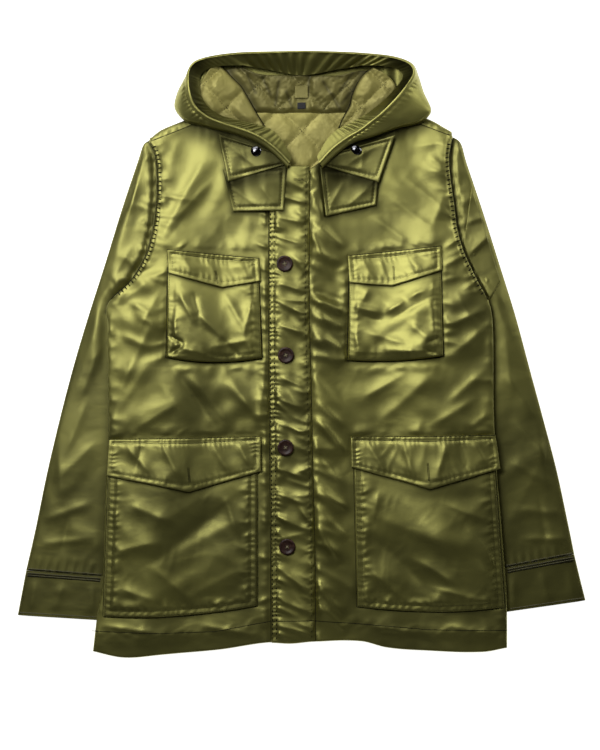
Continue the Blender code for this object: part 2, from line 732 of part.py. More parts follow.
def make_throat_flaps(cloth):
    """The four corners of the open collar, folded outwards in two layers at each side."""
    for name, flap in THROAT_FLAPS.items():

        def plan(u, v, flap=flap):
            bottom = [mix(a, b, u) for a, b in zip(flap.neck_bottom, flap.outer_bottom)]
            top = [mix(a, b, u) for a, b in zip(flap.neck_top, flap.outer_top)]
            return mix(bottom[0], top[0], v), mix(bottom[1], top[1], v)

        def low(x, y, flap=flap):
            return throat_low(flap, x, y)

        layer(name, 7, 6, plan, low, lambda x, y, low=low: low(x, y) + FLAP_WALL, cloth)


# ---------------------------------------------------------------- hood
def hood_row(u):
    return HoodRow(*along(HOOD, u))


def make_hood_side(cloth):
    """The brim and the hood's outer side, from the rim over the widest line down to what it rests on."""

    def point(u, v):
        row = hood_row(u)
        low = row.base_z + 0.5
        if v < 0.5:
            t = v / 0.5
            bow = math.sin(t * math.pi / 2)
            x, y = mix(row.rim_x, row.out_x, t), mix(row.rim_y, row.out_y, t)
            return x, y, mix(row.rim_z, mix(low, row.rim_z, 0.5), 1 - math.cos(t * math.pi / 2)) + 0.4 * bow
        t = (v - 0.5) / 0.5
        inward = 1 - 0.012 * math.sin(t * math.pi / 2)
        return row.out_x * inward, row.out_y * (1 - 0.006 * t), mix(mix(low, row.rim_z, 0.5), low, t)

    sheet("hood_side", 46, 5, point, cloth, 1.8, outward=1.0)


def make_hood_facing(cloth):
    """The satin band inside the rim, gathered by its drawcord."""

    def point(u, v):
        row = hood_row(u)
        width = along([(width,) for width in FACING_WIDTH], u)[0]
        inward = Vector((-row.rim_x, 350.0 - row.rim_y)).normalized()
        reach = 2.6 + width * v
        over_ear = ease(86, 108, abs(row.rim_x))
        foot = mix(18.4, 27.3, over_ear) if row.rim_y > 330 else max(27.3, row.base_z + 2.6)
        wave = 0.5 * math.sin(u * math.pi * 46) * math.sin(v * math.pi)
        z = mix(row.rim_z - 0.8, min(foot, row.rim_z - 0.8), ease(0, 1, v)) + wave
        return row.rim_x + inward.x * reach, row.rim_y + inward.y * reach, z

    sheet("hood_facing", 66, 3, point, cloth, 1.2)


def quilt(x, y):
    """How far a quilted diamond rises at a point, 0 on its stitched lines."""
    a = math.sin(math.pi * (x + y) / (QUILT_PITCH * math.sqrt(2)))
    b = math.sin(math.pi * (x - y) / (QUILT_PITCH * math.sqrt(2)))
    return QUILT_PUFF * min(1.0, 1.6 * abs(a * b) ** 0.5)


def hood_low(x, y):
    """The underside of the hood's back lining, a little above the folded crown."""
    return 9.5 + 3.4 * ease(350, 400, y)


def make_linings(cloth):
    """The quilted lining where the open neck shows it."""

    def neck_plan(u, v):
        half = mix(30, 92, v)
        return mix(-half, half, u) + 3, mix(250, 345.5, v)

    layer("neck_lining", 12, 9, neck_plan, lambda x, y: BODY_WALL + STACK, lambda x, y: BODY_WALL + STACK + 1.6 + 0.5 * quilt(x, y), cloth)

    def hood_plan(u, v):
        x = mix(mix(-100, -118, v), mix(100, 106, v), u)
        return x, mix(348.5, through(HOOD_LINING_TOP, "x", "y", x), v)

    layer("hood_lining", 22, 6, hood_plan, hood_low, lambda x, y: hood_low(x, y) + 1.4 + quilt(x, y), cloth)

    for name, rows in (("hood_lining_ear_right", RIGHT_EAR), ("hood_lining_ear_left", LEFT_EAR)):

        def plan(u, v, rows=rows):
            row = along(rows, v)
            return mix(row[0], row[2], u), mix(row[1], row[3], u)

        def low(x, y):
            return mix(14.2 + 3.2 * ease(350, 400, y), 20.2, ease(100, 134, abs(x)))

        layer(name, 7, 11, plan, low, lambda x, y: low(x, y) + 2.6 + quilt(x + 12, y), cloth)


def make_crown(cloth):
    """The hood's folded crown and back, whose hidden layers lie together behind the neck, inside the hood's side."""

    def plan(u, v):
        row = hood_row(mix(7, 21, u) / (len(HOOD) - 1))
        inward = Vector((-row.out_x, 365.0 - row.out_y)).normalized() * 5.6
        x = mix(-150, 150, u)
        neck = through(BACK_TOP, "x", "y", x) + 0.8
        return mix(x, row.out_x + inward.x, v), mix(neck, row.out_y + inward.y, v)

    def high(x, y):
        return mix(9.0, 19.6, ease(118, 136, abs(x)) * ease(348, 362, y)) - 2.5 * ease(398, 418, y) * ease(130, 118, abs(x))

    layer("hood_crown", 20, 5, plan, lambda x, y: 0.0, high, cloth)


def make_neck_label(cloth, black):
    def patch_plan(u, v):
        return mix(-10, 8.5, u), mix(364, 381, v)

    def tab_plan(u, v):
        return mix(-6.5, 5, u), mix(349, 358, v)

    layer("hanger_patch", 2, 2, patch_plan, lambda x, y: 15.6, lambda x, y: 16.4, cloth)
    layer("neck_tab", 2, 2, tab_plan, lambda x, y: 13.9, lambda x, y: 14.7, black)


# ---------------------------------------------------------------- fastenings
def turned(name, profile, steps, finish_material, x, y, z):
    """A turned piece from a profile of (radius, height) that runs from the top's middle down its outer side."""
    mesh = bpy.data.meshes.new(name)
    points = [(radius * MM, 0, height * MM) for radius, height in profile]
    mesh.from_pydata(points, [(i, i + 1) for i in range(len(points) - 1)], [])
    mesh.materials.append(finish_material)
    made = bpy.data.objects.new(name, mesh)
    PARKA.objects.link(made)
    screw = made.modifiers.new("turn", "SCREW")
    screw.steps = screw.render_steps = steps
    screw.use_merge_vertices = True
    screw.merge_threshold = 0.0001
    screw.use_smooth_shade = True
    made.location = placed(x, y, z)
    return made


def make_buttons(horn):
    profile = [
        (0, 1.9),
        (6.6, 1.9),
        (8.2, BUTTON_HEIGHT - 0.2),
        (9.8, BUTTON_HEIGHT),
        (BUTTON_RADIUS - 0.4, BUTTON_HEIGHT - 0.9),
        (BUTTON_RADIUS, 1.6),
        (BUTTON_RADIUS - 2.5, 0),
        (0, 0),
    ]
    for number, spot in enumerate(BUTTONS, 1):
        turned(f"button_{number}", profile, 18, horn, spot.x, spot.y, placket_top(spot.x, spot.y) + 0.7)


def make_snaps(metal):
    profile = [(0, 3.4), (3.4, 3.1), (5.6, 2.2), (SNAP_RADIUS, 0.9), (SNAP_RADIUS, 0), (0, 0)]
    for side, spot in SNAPS.items():
        rest = throat_low(THROAT_FLAPS[f"throat_flap_upper_{side}"], spot.x, spot.y) + FLAP_WALL
        turned(f"snap_{side}", profile, 16, metal, spot.x, spot.y, rest + STACK + 0.8)


# ---------------------------------------------------------------- the parka
for leftover in list(bpy.data.objects):
    bpy.data.objects.remove(leftover)
PARKA = bpy.data.collections.new("parka")
bpy.context.scene.collection.children.link(PARKA)

SHELL = material("shell_satin", (0.150, 0.146, 0.045), 0.42)
LINING = material("quilted_lining", (0.330, 0.295, 0.085), 0.6)
HORN = material("button_horn", (0.035, 0.016, 0.012), 0.3)
BLACK_METAL = material("snap_enamel", (0.01, 0.01, 0.012), 0.2, 0.6)
BLACK_TAPE = material("label_tape", (0.012, 0.012, 0.014), 0.7)

make_back(SHELL)
make_fronts(SHELL)
make_placket(SHELL)
make_yokes(SHELL)
make_sleeves(SHELL)
make_arm_pocket(SHELL)
make_pockets(SHELL)
make_flaps(SHELL)
make_throat_flaps(SHELL)
make_hood_side(SHELL)
make_hood_facing(SHELL)
make_linings(LINING)
make_crown(SHELL)
make_neck_label(LINING, BLACK_TAPE)
make_buttons(HORN)
make_snaps(BLACK_METAL)
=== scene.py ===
# %% [markdown]
# # A hooded field parka, laid flat
# A lined parka in olive satin nylon lies on its back with its front up. Every panel
# is a thin shell of cloth: a grid shaped in plan, then given a height at each point.
# The tables are in millimetres, measured on the garment, and are turned into metres
# only when a mesh gets its points. "right" and "left" are the wearer's.

# %% Load the frame
import math
from collections import namedtuple

import bpy
import numpy as np
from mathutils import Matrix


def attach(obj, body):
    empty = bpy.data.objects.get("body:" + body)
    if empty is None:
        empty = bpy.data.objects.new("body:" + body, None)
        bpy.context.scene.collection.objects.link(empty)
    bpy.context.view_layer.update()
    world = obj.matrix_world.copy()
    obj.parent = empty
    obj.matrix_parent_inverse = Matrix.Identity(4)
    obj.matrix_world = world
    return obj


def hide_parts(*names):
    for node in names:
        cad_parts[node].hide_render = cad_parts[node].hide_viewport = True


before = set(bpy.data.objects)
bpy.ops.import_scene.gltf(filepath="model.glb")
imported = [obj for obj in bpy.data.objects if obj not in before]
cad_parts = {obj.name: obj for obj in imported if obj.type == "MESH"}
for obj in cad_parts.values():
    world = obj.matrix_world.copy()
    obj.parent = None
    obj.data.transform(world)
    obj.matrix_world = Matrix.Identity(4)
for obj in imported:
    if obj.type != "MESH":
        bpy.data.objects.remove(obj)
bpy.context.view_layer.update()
bpy.ops.object.select_all(action="DESELECT")

# %% [markdown]
# ## Sizes
# The same driving sizes as the solids have: the thickness of a lined panel, the air
# left between layers that lie on each other, and how high a flat sleeve stands.
# Cloth that is stacked only touches here and there, so small gaps look right.

# %% Driving sizes
MM = 0.001
CENTRE_X, CENTRE_Y = -0.5, -0.1
BODY_WALL = 4.0
BODY_GAP = 2.2
SIDE_GAP = 1.0
SLEEVE_WALL = 3.0
SLEEVE_HEIGHT = 9.0
SEAM = 0.3
ARMHOLE_GAP = 1.2
STACK = 0.5
PATCH_STACK = 0.9
FLAP_WALL = 2.2
BUTTON_RADIUS = 11.5
BUTTON_HEIGHT = 3.6
STEP = 2.8  # between a panel's points

# %% [markdown]
# ## Outlines
# A flat garment is its outline first. Each table holds a few measured points, and a
# smooth line is run through them, as a pattern cutter does with a curved rule.

# %% Outline tables
EdgeRow = namedtuple("EdgeRow", "y right left")
LinePoint = namedtuple("LinePoint", "x y")
SleeveRow = namedtuple("SleeveRow", "outer_x outer_y inner_x inner_y")
HoodRow = namedtuple("HoodRow", "rim_x rim_y out_x out_y rim_z base_z")
LiningRow = namedtuple("LiningRow", "outer_x outer_y inner_x inner_y")
Fold = namedtuple("Fold", "x y angle length width height")
Crease = namedtuple("Crease", "x1 y1 x2 y2 width height")
Pocket = namedtuple("Pocket",
    "left_top left_bottom right_top right_bottom top bottom_left bottom_mid bottom_right thick_top thick_bottom")
Flap = namedtuple("Flap",
    "left_top left_bottom right_top right_bottom top_left top_right end_left point_x point_y end_right")
ThroatFlap = namedtuple("ThroatFlap", "neck_top neck_bottom outer_top outer_bottom lift curl")

BODY_EDGE = [EdgeRow(*row) for row in (
    (306, 219, 214), (280, 208, 210), (250, 206, 212), (215, 207, 217), (175, 212, 222), (140, 222, 233),
    (105, 243, 250), (73, 275, 266), (40, 276, 271), (-65, 275, 272), (-121, 275, 274), (-173, 278, 277),
    (-218, 280, 281), (-280, 281, 286), (-334, 284, 290), (-373, 291, 291), (-424, 297, 291))]
HEM = [LinePoint(*row) for row in (
    (-298, -421), (-254, -430), (-203, -427), (-118, -420), (-50, -410), (-16, -411),
    (18, -408), (84, -408), (121, -417), (172, -421), (257, -422), (292, -416))]
FRONT_TOP = [LinePoint(*row) for row in (
    (-219, 304), (-185, 316), (-156, 328), (-105, 345), (-88, 332), (-66, 310), (-40, 286), (-8, 263),
    (10, 263), (40, 286), (66, 310), (88, 332), (105, 347), (161, 331), (185, 322), (214, 311))]
BACK_TOP = [LinePoint(*row) for row in (
    (-214, 309), (-203, 318), (-186, 326), (-150, 339), (-110, 348), (-60, 347),
    (60, 347), (110, 350), (150, 342), (180, 335), (206, 321), (216, 315))]
PLACKET_EDGE = [LinePoint(*row) for row in ((-45, 270), (-47, 140), (-46, -60), (-45, -158), (-43, -411))]
PLACKET_SEAM = [LinePoint(*row) for row in ((10, 270), (9, 66), (12, -60), (14, -158), (17, -281),
    (18, -411))]
ARMHOLE = [EdgeRow(*row) for row in ((304, 211, 206), (278, 200, 202), (240, 198, 205), (200, 200, 211),
    (158, 205, 213), (122, 205, 212), (78, 203, 207))]
RIGHT_SLEEVE = [SleeveRow(*row) for row in (
    (235, 272, 212, 50), (257, 206, 208, 16), (281, 128, 203, -18), (304, 56, 205, -54),
    (326, -18, 210, -100),
    (346, -95, 218, -152), (364, -172, 229, -206), (380, -250, 241, -266), (393, -307, 249, -318))]
LEFT_SLEEVE = [SleeveRow(*row) for row in (
    (235, 272, 214, 50), (257, 206, 210, 16), (281, 130, 204, -18), (304, 56, 206, -56),
    (325, -22, 211, -104),
    (345, -96, 219, -152), (363, -165, 230, -204), (378, -235, 242, -263), (388, -284, 250, -310))]
RIGHT_CUFF = [SleeveRow(393, -307.5, 249, -318.5), SleeveRow(399, -339, 253, -349),
    SleeveRow(405, -371, 257, -380)]
LEFT_CUFF = [SleeveRow(388, -284.5, 250, -310.5), SleeveRow(396, -318, 254, -343),
    SleeveRow(404, -350, 258, -371)]
SLEEVE_FOLD = [EdgeRow(*row) for row in ((150, 211, 221), (78, 205, 208), (-18, 203, 204), (-100, 210, 211),
    (-206, 229, 230), (-318, 249, 252), (-430, 266, 268))]
HOOD = [HoodRow(*row) for row in (
    (-17, 272, -20, 266, 29, 25), (-38, 293, -40, 286, 30, 25), (-63, 310, -64, 303, 31, 24),
    (-92, 321, -93, 314, 32, 23.5), (-112, 327, -115, 320, 34, 24), (-134, 336, -142, 327, 36, 20),
    (-150, 350, -166, 334, 38, 15), (-157, 366, -179, 350, 40, 0), (-160, 384, -175, 372, 40, 0),
    (-159, 400, -163, 393, 39, 0), (-150, 412, -152, 411, 37, 0), (-128, 419, -131, 421, 35, 0),
    (-90, 424, -91, 427, 33, 0), (-45, 426, -45, 428, 32, 0), (0, 427, 0, 428, 32, 0),
    (45, 426, 45, 428, 32, 0),
    (92, 423, 93, 426, 33, 0), (130, 418, 132, 421, 35, 0), (152, 409, 156, 411, 37, 0),
    (157, 396, 164, 394, 39, 0),
    (148, 380, 171, 372, 40, 0), (134, 362, 181, 345, 40, 15), (112, 340, 168, 332, 38, 15),
    (98, 329, 138, 324, 35, 21), (80, 316, 103, 312, 32, 24), (62, 306, 72, 302, 30, 23),
    (42, 291, 48, 285, 29, 24.5), (24, 272, 28, 266, 28, 24.5))]
FACING_WIDTH = [6, 12, 16, 18, 18, 16, 14, 12, 12, 14, 17, 19, 23, 27, 28, 27, 22, 18, 14, 12, 12, 13, 15,
    16, 17, 15, 11, 6]
RIGHT_EAR = [LiningRow(*row) for row in (
    (-60, 314, -50, 318), (-98, 330, -64, 341), (-124, 341, -75, 360), (-140, 356, -87, 380),
    (-146, 373, -99, 392), (-141, 390, -108, 402), (-130, 405, -118, 410))]
LEFT_EAR = [LiningRow(*row) for row in (
    (64, 319, 53, 322), (88, 331, 59, 336), (106, 346, 68, 352), (122, 362, 72, 368),
    (133, 376, 80, 386), (127, 390, 88, 397), (112, 401, 100, 407))]
HOOD_LINING_TOP = [LinePoint(*row) for row in ((-124, 398), (-91, 408), (-60, 398), (0, 396), (50, 396),
    (86, 403), (110, 396))]
CHEST_POCKETS = {
    "right": Pocket(-190, -192, -62, -57, 123, -4, -11, -5, 2.6, 9.0),
    "left": Pocket(68, 65, 197, 200, 126, -8, -9, -2, 2.6, 9.0),
}
LOWER_POCKETS = {
    "right": Pocket(-272, -281, -64, -64, -132, -371, -371, -357, 2.6, 2.6),
    "left": Pocket(74, 79, 271, 287, -132, -358, -365, -358, 2.6, 2.6),
}
CHEST_FLAPS = {
    "right": Flap(-192, -189, -61, -59, 149, 137, 115, -113, 95, 104),
    "left": Flap(65, 67, 198, 198, 141, 154, 102, 128, 97, 119),
}
LOWER_FLAPS = {
    "right": Flap(-274, -277, -58, -58, -120, -116, -172, -160, -195, -166),
    "left": Flap(69, 70, 274, 281, -117, -114, -160, 181, -191, -162),
}
THROAT_FLAPS = {
    "throat_flap_lower_right": ThroatFlap((-21, 268), (-26, 204), (-112, 262), (-98, 203), 0.0, 2.0),
    "throat_flap_lower_left": ThroatFlap((25, 267), (34, 196), (111, 262), (105, 212), 0.3, 2.0),
    "throat_flap_upper_right": ThroatFlap((-30, 283), (-18, 270), (-119, 313), (-105, 245), 3.4, 2.6),
    "throat_flap_upper_left": ThroatFlap((38, 283), (25, 269), (132, 311), (109, 244), 3.4, 2.6),
}
BUTTONS = [LinePoint(-24.6, 129), LinePoint(-23, -1), LinePoint(-23.4, -132), LinePoint(-21, -273)]
SNAPS = {"right": LinePoint(-65, 288), "left": LinePoint(77, 290)}
print("outlines:", len(BODY_EDGE) + len(HEM) + len(HOOD), "measured points for the body, hem and hood")

# %% [markdown]
# ## Large folds
# The same large folds as in the solids: soft ridges above 0 and troughs below it,
# each with a place, an angle in degrees, a length, a width and a height. They are set
# where the nylon catches the light.

# %% Fold tables of the solids
FRONT_FOLDS = [Fold(*row) for row in (
    (-158, 232, 63, 150, 30, 2.4), (-112, 238, 66, 110, 26, 1.8), (-240, 92, 12, 70, 22, 2.2),
    (-232, 40, -22, 80, 24, 2.4),
    (-236, -20, 14, 90, 26, 1.8), (-150, -42, -12, 150, 30, 1.8), (-215, -80, 24, 100, 28, 1.7),
    (-95, -78, 32, 90, 26, 1.6),
    (-200, -400, 6, 130, 20, 1.3), (44, 232, -38, 80, 24, 1.9), (40, 150, -42, 70, 24, 2.2),
    (44, 72, -36, 70, 24, 2.4),
    (44, 10, -48, 80, 26, 2.4), (46, -82, -52, 100, 26, 2.8), (44, -170, -55, 90, 24, 2.4),
    (46, -262, -58, 100, 24, 2.4),
    (50, -345, -56, 90, 24, 2.2), (160, 222, -35, 130, 28, 2.2), (196, 250, -40, 80, 24, 1.6),
    (232, 80, 30, 90, 26, 1.9),
    (236, 10, 22, 90, 28, 1.8), (150, -44, 10, 150, 30, 1.8), (200, -84, -24, 110, 28, 1.7),
    (100, -80, -40, 90, 26, 1.7),
    (220, -396, -6, 120, 20, 1.2))]
CHEST_POCKET_FOLDS = [Fold(*row) for row in (
    (-150, 70, -48, 90, 22, 1.6), (-100, 40, -36, 110, 24, 2.0), (-130, 16, -24, 100, 20, 1.6),
    (112, 78, -30, 90, 22, 1.5),
    (160, 62, 34, 110, 24, 2.0), (120, 24, 40, 90, 20, -1.4), (176, 24, 38, 70, 18, 1.8))]
LOWER_POCKET_FOLDS = [Fold(*row) for row in (
    (-235, -262, -22, 110, 30, 1.8), (-120, -292, 34, 170, 36, 2.0), (-180, -332, 24, 120, 26, 1.3),
    (-150, -232, 40, 120, 30, 1.2),
    (150, -232, -28, 160, 34, 2.0), (225, -268, -20, 120, 28, 1.8), (130, -318, -30, 110, 30, 1.3))]
SLEEVE_FOLDS = [Fold(*row) for row in (
    (-250, 190, 72, 170, 24, 1.4), (-300, 10, 66, 190, 28, 1.3), (-330, -180, 52, 130, 30, 1.5),
    (-300, -262, -30, 110, 26, 1.4),
    (262, 170, 40, 70, 22, 1.6), (300, 60, -66, 170, 30, 1.3), (322, -150, 30, 120, 28, 1.4),
    (350, -240, -72, 130, 26, 1.3))]
print("large folds:", sum(len(t) for t in (FRONT_FOLDS, CHEST_POCKET_FOLDS, LOWER_POCKET_FOLDS,
    SLEEVE_FOLDS)))

# %% [markdown]
# ## Small functions on whole grids
# A panel has thousands of points, so each function takes and gives whole arrays of
# them. `ease` is a smooth step, `through` a smooth line through a table's column, and
# `lumps` gives smooth random hills, the same ones on each run because its seed is set.


# %% Functions on grids
def ease(low, high, value):
    """0 before low, 1 past high, and a smooth change between."""
    t = np.clip((np.asarray(value, float) - low) / (high - low), 0.0, 1.0)
    return t * t * (3.0 - 2.0 * t)


def mix(a, b, share):
    return a + (b - a) * share


def through(rows, key, column, at):
    """A smooth line through one column of a table, read where the key column equals at."""
    rows = sorted(rows, key=lambda row: getattr(row, key))
    keys = np.array([getattr(row, key) for row in rows], float)
    values = np.array([getattr(row, column) for row in rows], float)
    at = np.clip(at, keys[0], keys[-1])
    i = np.clip(np.searchsorted(keys, at, side="right") - 1, 0, len(keys) - 2)
    low, high = np.maximum(np.arange(len(keys)) - 1, 0), np.minimum(np.arange(len(keys)) + 1, len(keys) - 1)
    slopes = (values[high] - values[low]) / (keys[high] - keys[low])
    span = keys[i + 1] - keys[i]
    t = (at - keys[i]) / span
    rise = (2 * t**3 - 3 * t**2 + 1) * values[i] + (3 * t**2 - 2 * t**3) * values[i + 1]
    return rise + ((t**3 - 2 * t**2 + t) * slopes[i] + (t**3 - t**2) * slopes[i + 1]) * span


def along(rows, share, smooth=True):
    """The columns of a table between its rows, share running from 0 at the first to 1 at the last."""
    table = np.array(rows, float).reshape(len(rows), -1)
    place = np.clip(share, 0, 1) * (len(rows) - 1)
    i = np.clip(np.floor(place).astype(int), 0, len(rows) - 2)
    t = (place - i)[..., None]
    a, b = table[i], table[i + 1]
    if not smooth:
        return np.moveaxis(a + (b - a) * t, -1, 0)
    before, after = table[np.maximum(i - 1, 0)], table[np.minimum(i + 2, len(rows) - 1)]
    value = 0.5 * (2 * a + (b - before) * t + (2 * before - 5 * a + 4 * b - after) * t**2
        + (3 * a - before - 3 * b + after) * t**3)
    return np.moveaxis(value, -1, 0)


def fold_height(folds, x, y):
    """The sum of soft ridges and troughs, each fading out at its ends."""
    total = np.zeros(np.broadcast(x, y).shape)
    for fold in folds:
        turn = math.radians(fold.angle)
        dx, dy = x - fold.x, y - fold.y
        on_line = (dx * math.cos(turn) + dy * math.sin(turn)) / (fold.length / 2)
        off_line = (dy * math.cos(turn) - dx * math.sin(turn)) / (fold.width / 2)
        total = total + fold.height * np.exp(-off_line * off_line) * (1 - ease(0.3, 1.4, np.abs(on_line)))
    return total


def crease_height(creases, x, y):
    """Sharper folds from one point to another, each with a narrow back and long sides."""
    total = np.zeros(np.broadcast(x, y).shape)
    for crease in creases:
        half = math.hypot(crease.x2 - crease.x1, crease.y2 - crease.y1) / 2
        ux, uy = (crease.x2 - crease.x1) / half / 2, (crease.y2 - crease.y1) / half / 2
        dx, dy = x - (crease.x1 + crease.x2) / 2, y - (crease.y1 + crease.y2) / 2
        on_line = (dx * ux + dy * uy) / half
        off_line = (dy * ux - dx * uy) / (crease.width / 2)
        total = total + crease.height * np.exp(1.35 * (0.25 - np.sqrt(off_line**2 + 0.0625))) * (1
            - ease(0.35, 1.15, np.abs(on_line)))
    return total


def lumps(x, y, size, seed, stretch=1.0, angle=0.0):
    """Smooth random hills and hollows between -1 and 1, about size across."""
    turn = math.radians(angle)
    a = (x * math.cos(turn) + y * math.sin(turn)) / (size * stretch) + 40.3
    b = (y * math.cos(turn) - x * math.sin(turn)) / size + 40.7
    table = np.random.default_rng(seed).uniform(-1, 1, (97, 97))
    ia, ib = np.floor(a).astype(int), np.floor(b).astype(int)
    fa, fb = a - ia, b - ib
    fa, fb = fa * fa * (3 - 2 * fa), fb * fb * (3 - 2 * fb)
    top = mix(table[ia % 97, ib % 97], table[(ia + 1) % 97, ib % 97], fa)
    return mix(top, mix(table[ia % 97, (ib + 1) % 97], table[(ia + 1) % 97, (ib + 1) % 97], fa), fb)


def crumple(x, y, size, seed, stretch=1.6, angle=20.0):
    """Crushed cloth: smooth hollows that meet in narrow ridges."""
    sway = lumps(x, y, size * 1.7, seed + 5) * size * 0.5
    one = lumps(x + sway, y - sway, size, seed, stretch, angle)
    two = lumps(x - sway, y + sway, size * 0.62, seed + 9, stretch, angle - 55)
    return 0.55 - np.sqrt(one * one + 0.01) - 0.45 * np.sqrt(two * two + 0.01)


print("a smooth step at its middle:", float(ease(0, 1, 0.5)))

# %% [markdown]
# ## How high each layer lies
# The back panel lies on the table and climbs over the sleeves, which are folded below
# its sides. The fronts lie on the back, the placket on the right front, the pockets
# and flaps on the fronts. Each height is worked out from the layer below.


# %% Heights of the layers
def by_side(rows, x, y):
    return np.where(x < 0, through(rows, "y", "right", y), through(rows, "y", "left", y))


def body_lift(x, y):
    fold = by_side(SLEEVE_FOLD, x, y)
    return (SLEEVE_HEIGHT + 0.9) * ease(fold - 105, fold - 28, np.abs(x)) * (1 - ease(158, 215, y))


def back_top(x, y):
    return body_lift(x, y) + BODY_WALL


def pocket_share(pocket, x, y):
    up = (y - pocket.bottom_mid) / (pocket.top - pocket.bottom_mid)
    left = mix(pocket.left_bottom, pocket.left_top, up)
    right = mix(pocket.right_bottom, pocket.right_top, up)
    return (x - left) / (right - left), up


def under_pocket(x, y):
    best = np.zeros(np.broadcast(x, y).shape)
    for pocket in [*CHEST_POCKETS.values(), *LOWER_POCKETS.values()]:
        across, up = pocket_share(pocket, x, y)
        inside = ease(-0.12, 0.02, across) * ease(-0.12, 0.02, 1 - across)
        best = np.maximum(best, inside * ease(-0.1, 0.0, up) * ease(-0.16, -0.04, 1 - up))
    return best


def free_share(x, y):
    """1 where a front panel may fold freely, 0 at its edges and below what is sewn on."""
    to_edge = by_side(BODY_EDGE, x, y) - np.abs(x)
    to_neck = through(FRONT_TOP, "x", "y", x) - y
    free = ease(2, 26, to_edge) * ease(8, 40, to_neck) * (1 - under_pocket(x, y))
    return free * np.where(x < 0, ease(48, 64, -x), ease(12, 24, x))


def front_top(x, y):
    x, y = np.asarray(x, float), np.asarray(y, float)
    to_edge = by_side(BODY_EDGE, x, y) - np.abs(x)
    to_neck = through(FRONT_TOP, "x", "y", x) - y
    base = back_top(x, y) + mix(SIDE_GAP, BODY_GAP, ease(0, 40, to_edge))
    over_sleeve = SLEEVE_HEIGHT + 0.8
    base = np.where((y > 60) & (base < over_sleeve), mix(base, over_sleeve, 1 - ease(14, 55, to_edge)), base)
    base = base + 3.2 * (1 - ease(16, 60, to_neck)) * (1 - ease(132, 150, np.abs(x)))
    seam = through(PLACKET_SEAM, "y", "x", y)
    base = base + np.where(x > 0, (BODY_WALL + STACK) * (1 - ease(4, 46, x - seam)), 0.0)
    return base + BODY_WALL + free_share(x, y) * fold_height(FRONT_FOLDS, x, y)


def placket_top(x, y):
    x, y = np.asarray(x, float), np.asarray(y, float)
    seam = through(PLACKET_SEAM, "y", "x", y)
    low = front_top(np.full(x.shape, -12.0), y) + STACK + BODY_WALL
    ripple = 0.6 * np.sin(y / 13.0) * ease(-42, -30, x) * ease(0, 16, seam - x)
    return mix(low, front_top(seam + SEAM, y), ease(-8, seam, x)) + ripple


def chest_pad(pocket, x, y):
    across, up = pocket_share(pocket, x, y)
    thick = mix(pocket.thick_bottom, pocket.thick_top, ease(0.0, 0.95, up))
    border = np.minimum(across, 1 - across) * 130
    rounding = 1 - 0.3 * (1 - ease(0, 10, border)) - 0.3 * (1 - ease(0, 10, up * 140))
    return np.maximum(2.2, thick * rounding) + ease(0, 22, border) * fold_height(CHEST_POCKET_FOLDS, x, y)


def lower_pad(pocket, x, y):
    across, up = pocket_share(pocket, x, y)
    border = np.minimum(across, 1 - across) * 205
    belly = 1.2 * ease(4, 60, border) * ease(0.02, 0.3, up)
    return pocket.thick_bottom + belly + ease(4, 30, border) * ease(0.02, 0.12,
        up) * fold_height(LOWER_POCKET_FOLDS, x, y)


def mouth(up):
    """A pocket is flattened where its flap presses on it."""
    return 1 - 0.72 * ease(0.72, 0.97, up)


def pocket_top(side, x, y):
    """The highest cloth at a point, pockets included, for the flaps that lie over them."""
    height = front_top(x, y)
    for pocket, pad in ((CHEST_POCKETS[side], chest_pad), (LOWER_POCKETS[side], lower_pad)):
        across, up = pocket_share(pocket, x, y)
        held = np.clip(across, 0.015, 0.985)
        raised = front_top(x, y) + (1 - ease(1.0, 1.09, up)) * (PATCH_STACK
            + mouth(up) * pad(pocket, x + (held - across) * 150, y))
        height = np.where((across > -0.06) & (across < 1.06) & (up > -0.02), np.maximum(height, raised),
            height)
    return height


print("the front lies", round(float(front_top(-100.0, 0.0)), 1), "mm up at the chest, and",
    round(float(front_top(-270.0, -200.0)), 1), "mm at its side")

# %% [markdown]
# ## Sewing pulls cloth together
# Along a seam the thread is a little shorter than the cloth, so the cloth puckers:
# short ripples stand across the seam and fade a centimetre or two away from it.
# `near_line` finds each point's distance from a seam and its place along it, and
# `pucker` turns both into a height.


# %% Puckers
def near_line(points, x, y):
    best, place, start = np.full(np.broadcast(x, y).shape, 1e9), np.zeros(np.broadcast(x, y).shape), 0.0
    for (ax, ay), (bx, by) in zip(points, points[1:]):
        dx, dy = bx - ax, by - ay
        length = max(math.hypot(dx, dy), 1e-6)
        t = np.clip(((x - ax) * dx + (y - ay) * dy) / length**2, 0, 1)
        away = np.hypot(x - ax - t * dx, y - ay - t * dy)
        place = np.where(away < best, start + t * length, place)
        best = np.minimum(best, away)
        start += length
    return best, place


def pucker(points, x, y, pitch, depth, reach, seed, groove=0.5, slant=0.35):
    """A close, nearly even ripple along a line of stitches."""
    away, place = near_line(points, x, y)
    wander = 1.1 * lumps(place, place * 0, pitch * 2.3, seed)
    wave = np.sin(2 * math.pi * (place / pitch + wander + slant * away / pitch))
    strength = 0.45 + 0.85 * (0.5 + 0.5 * lumps(place, place * 0 + 50, pitch * 3.1, seed + 1))
    rise = 1 - np.exp(-((away / 1.3) ** 2))
    return depth * strength * wave * rise * np.exp(-((away / reach) ** 1.3)) - groove * np.exp(-((away
        / 1.7) ** 2))


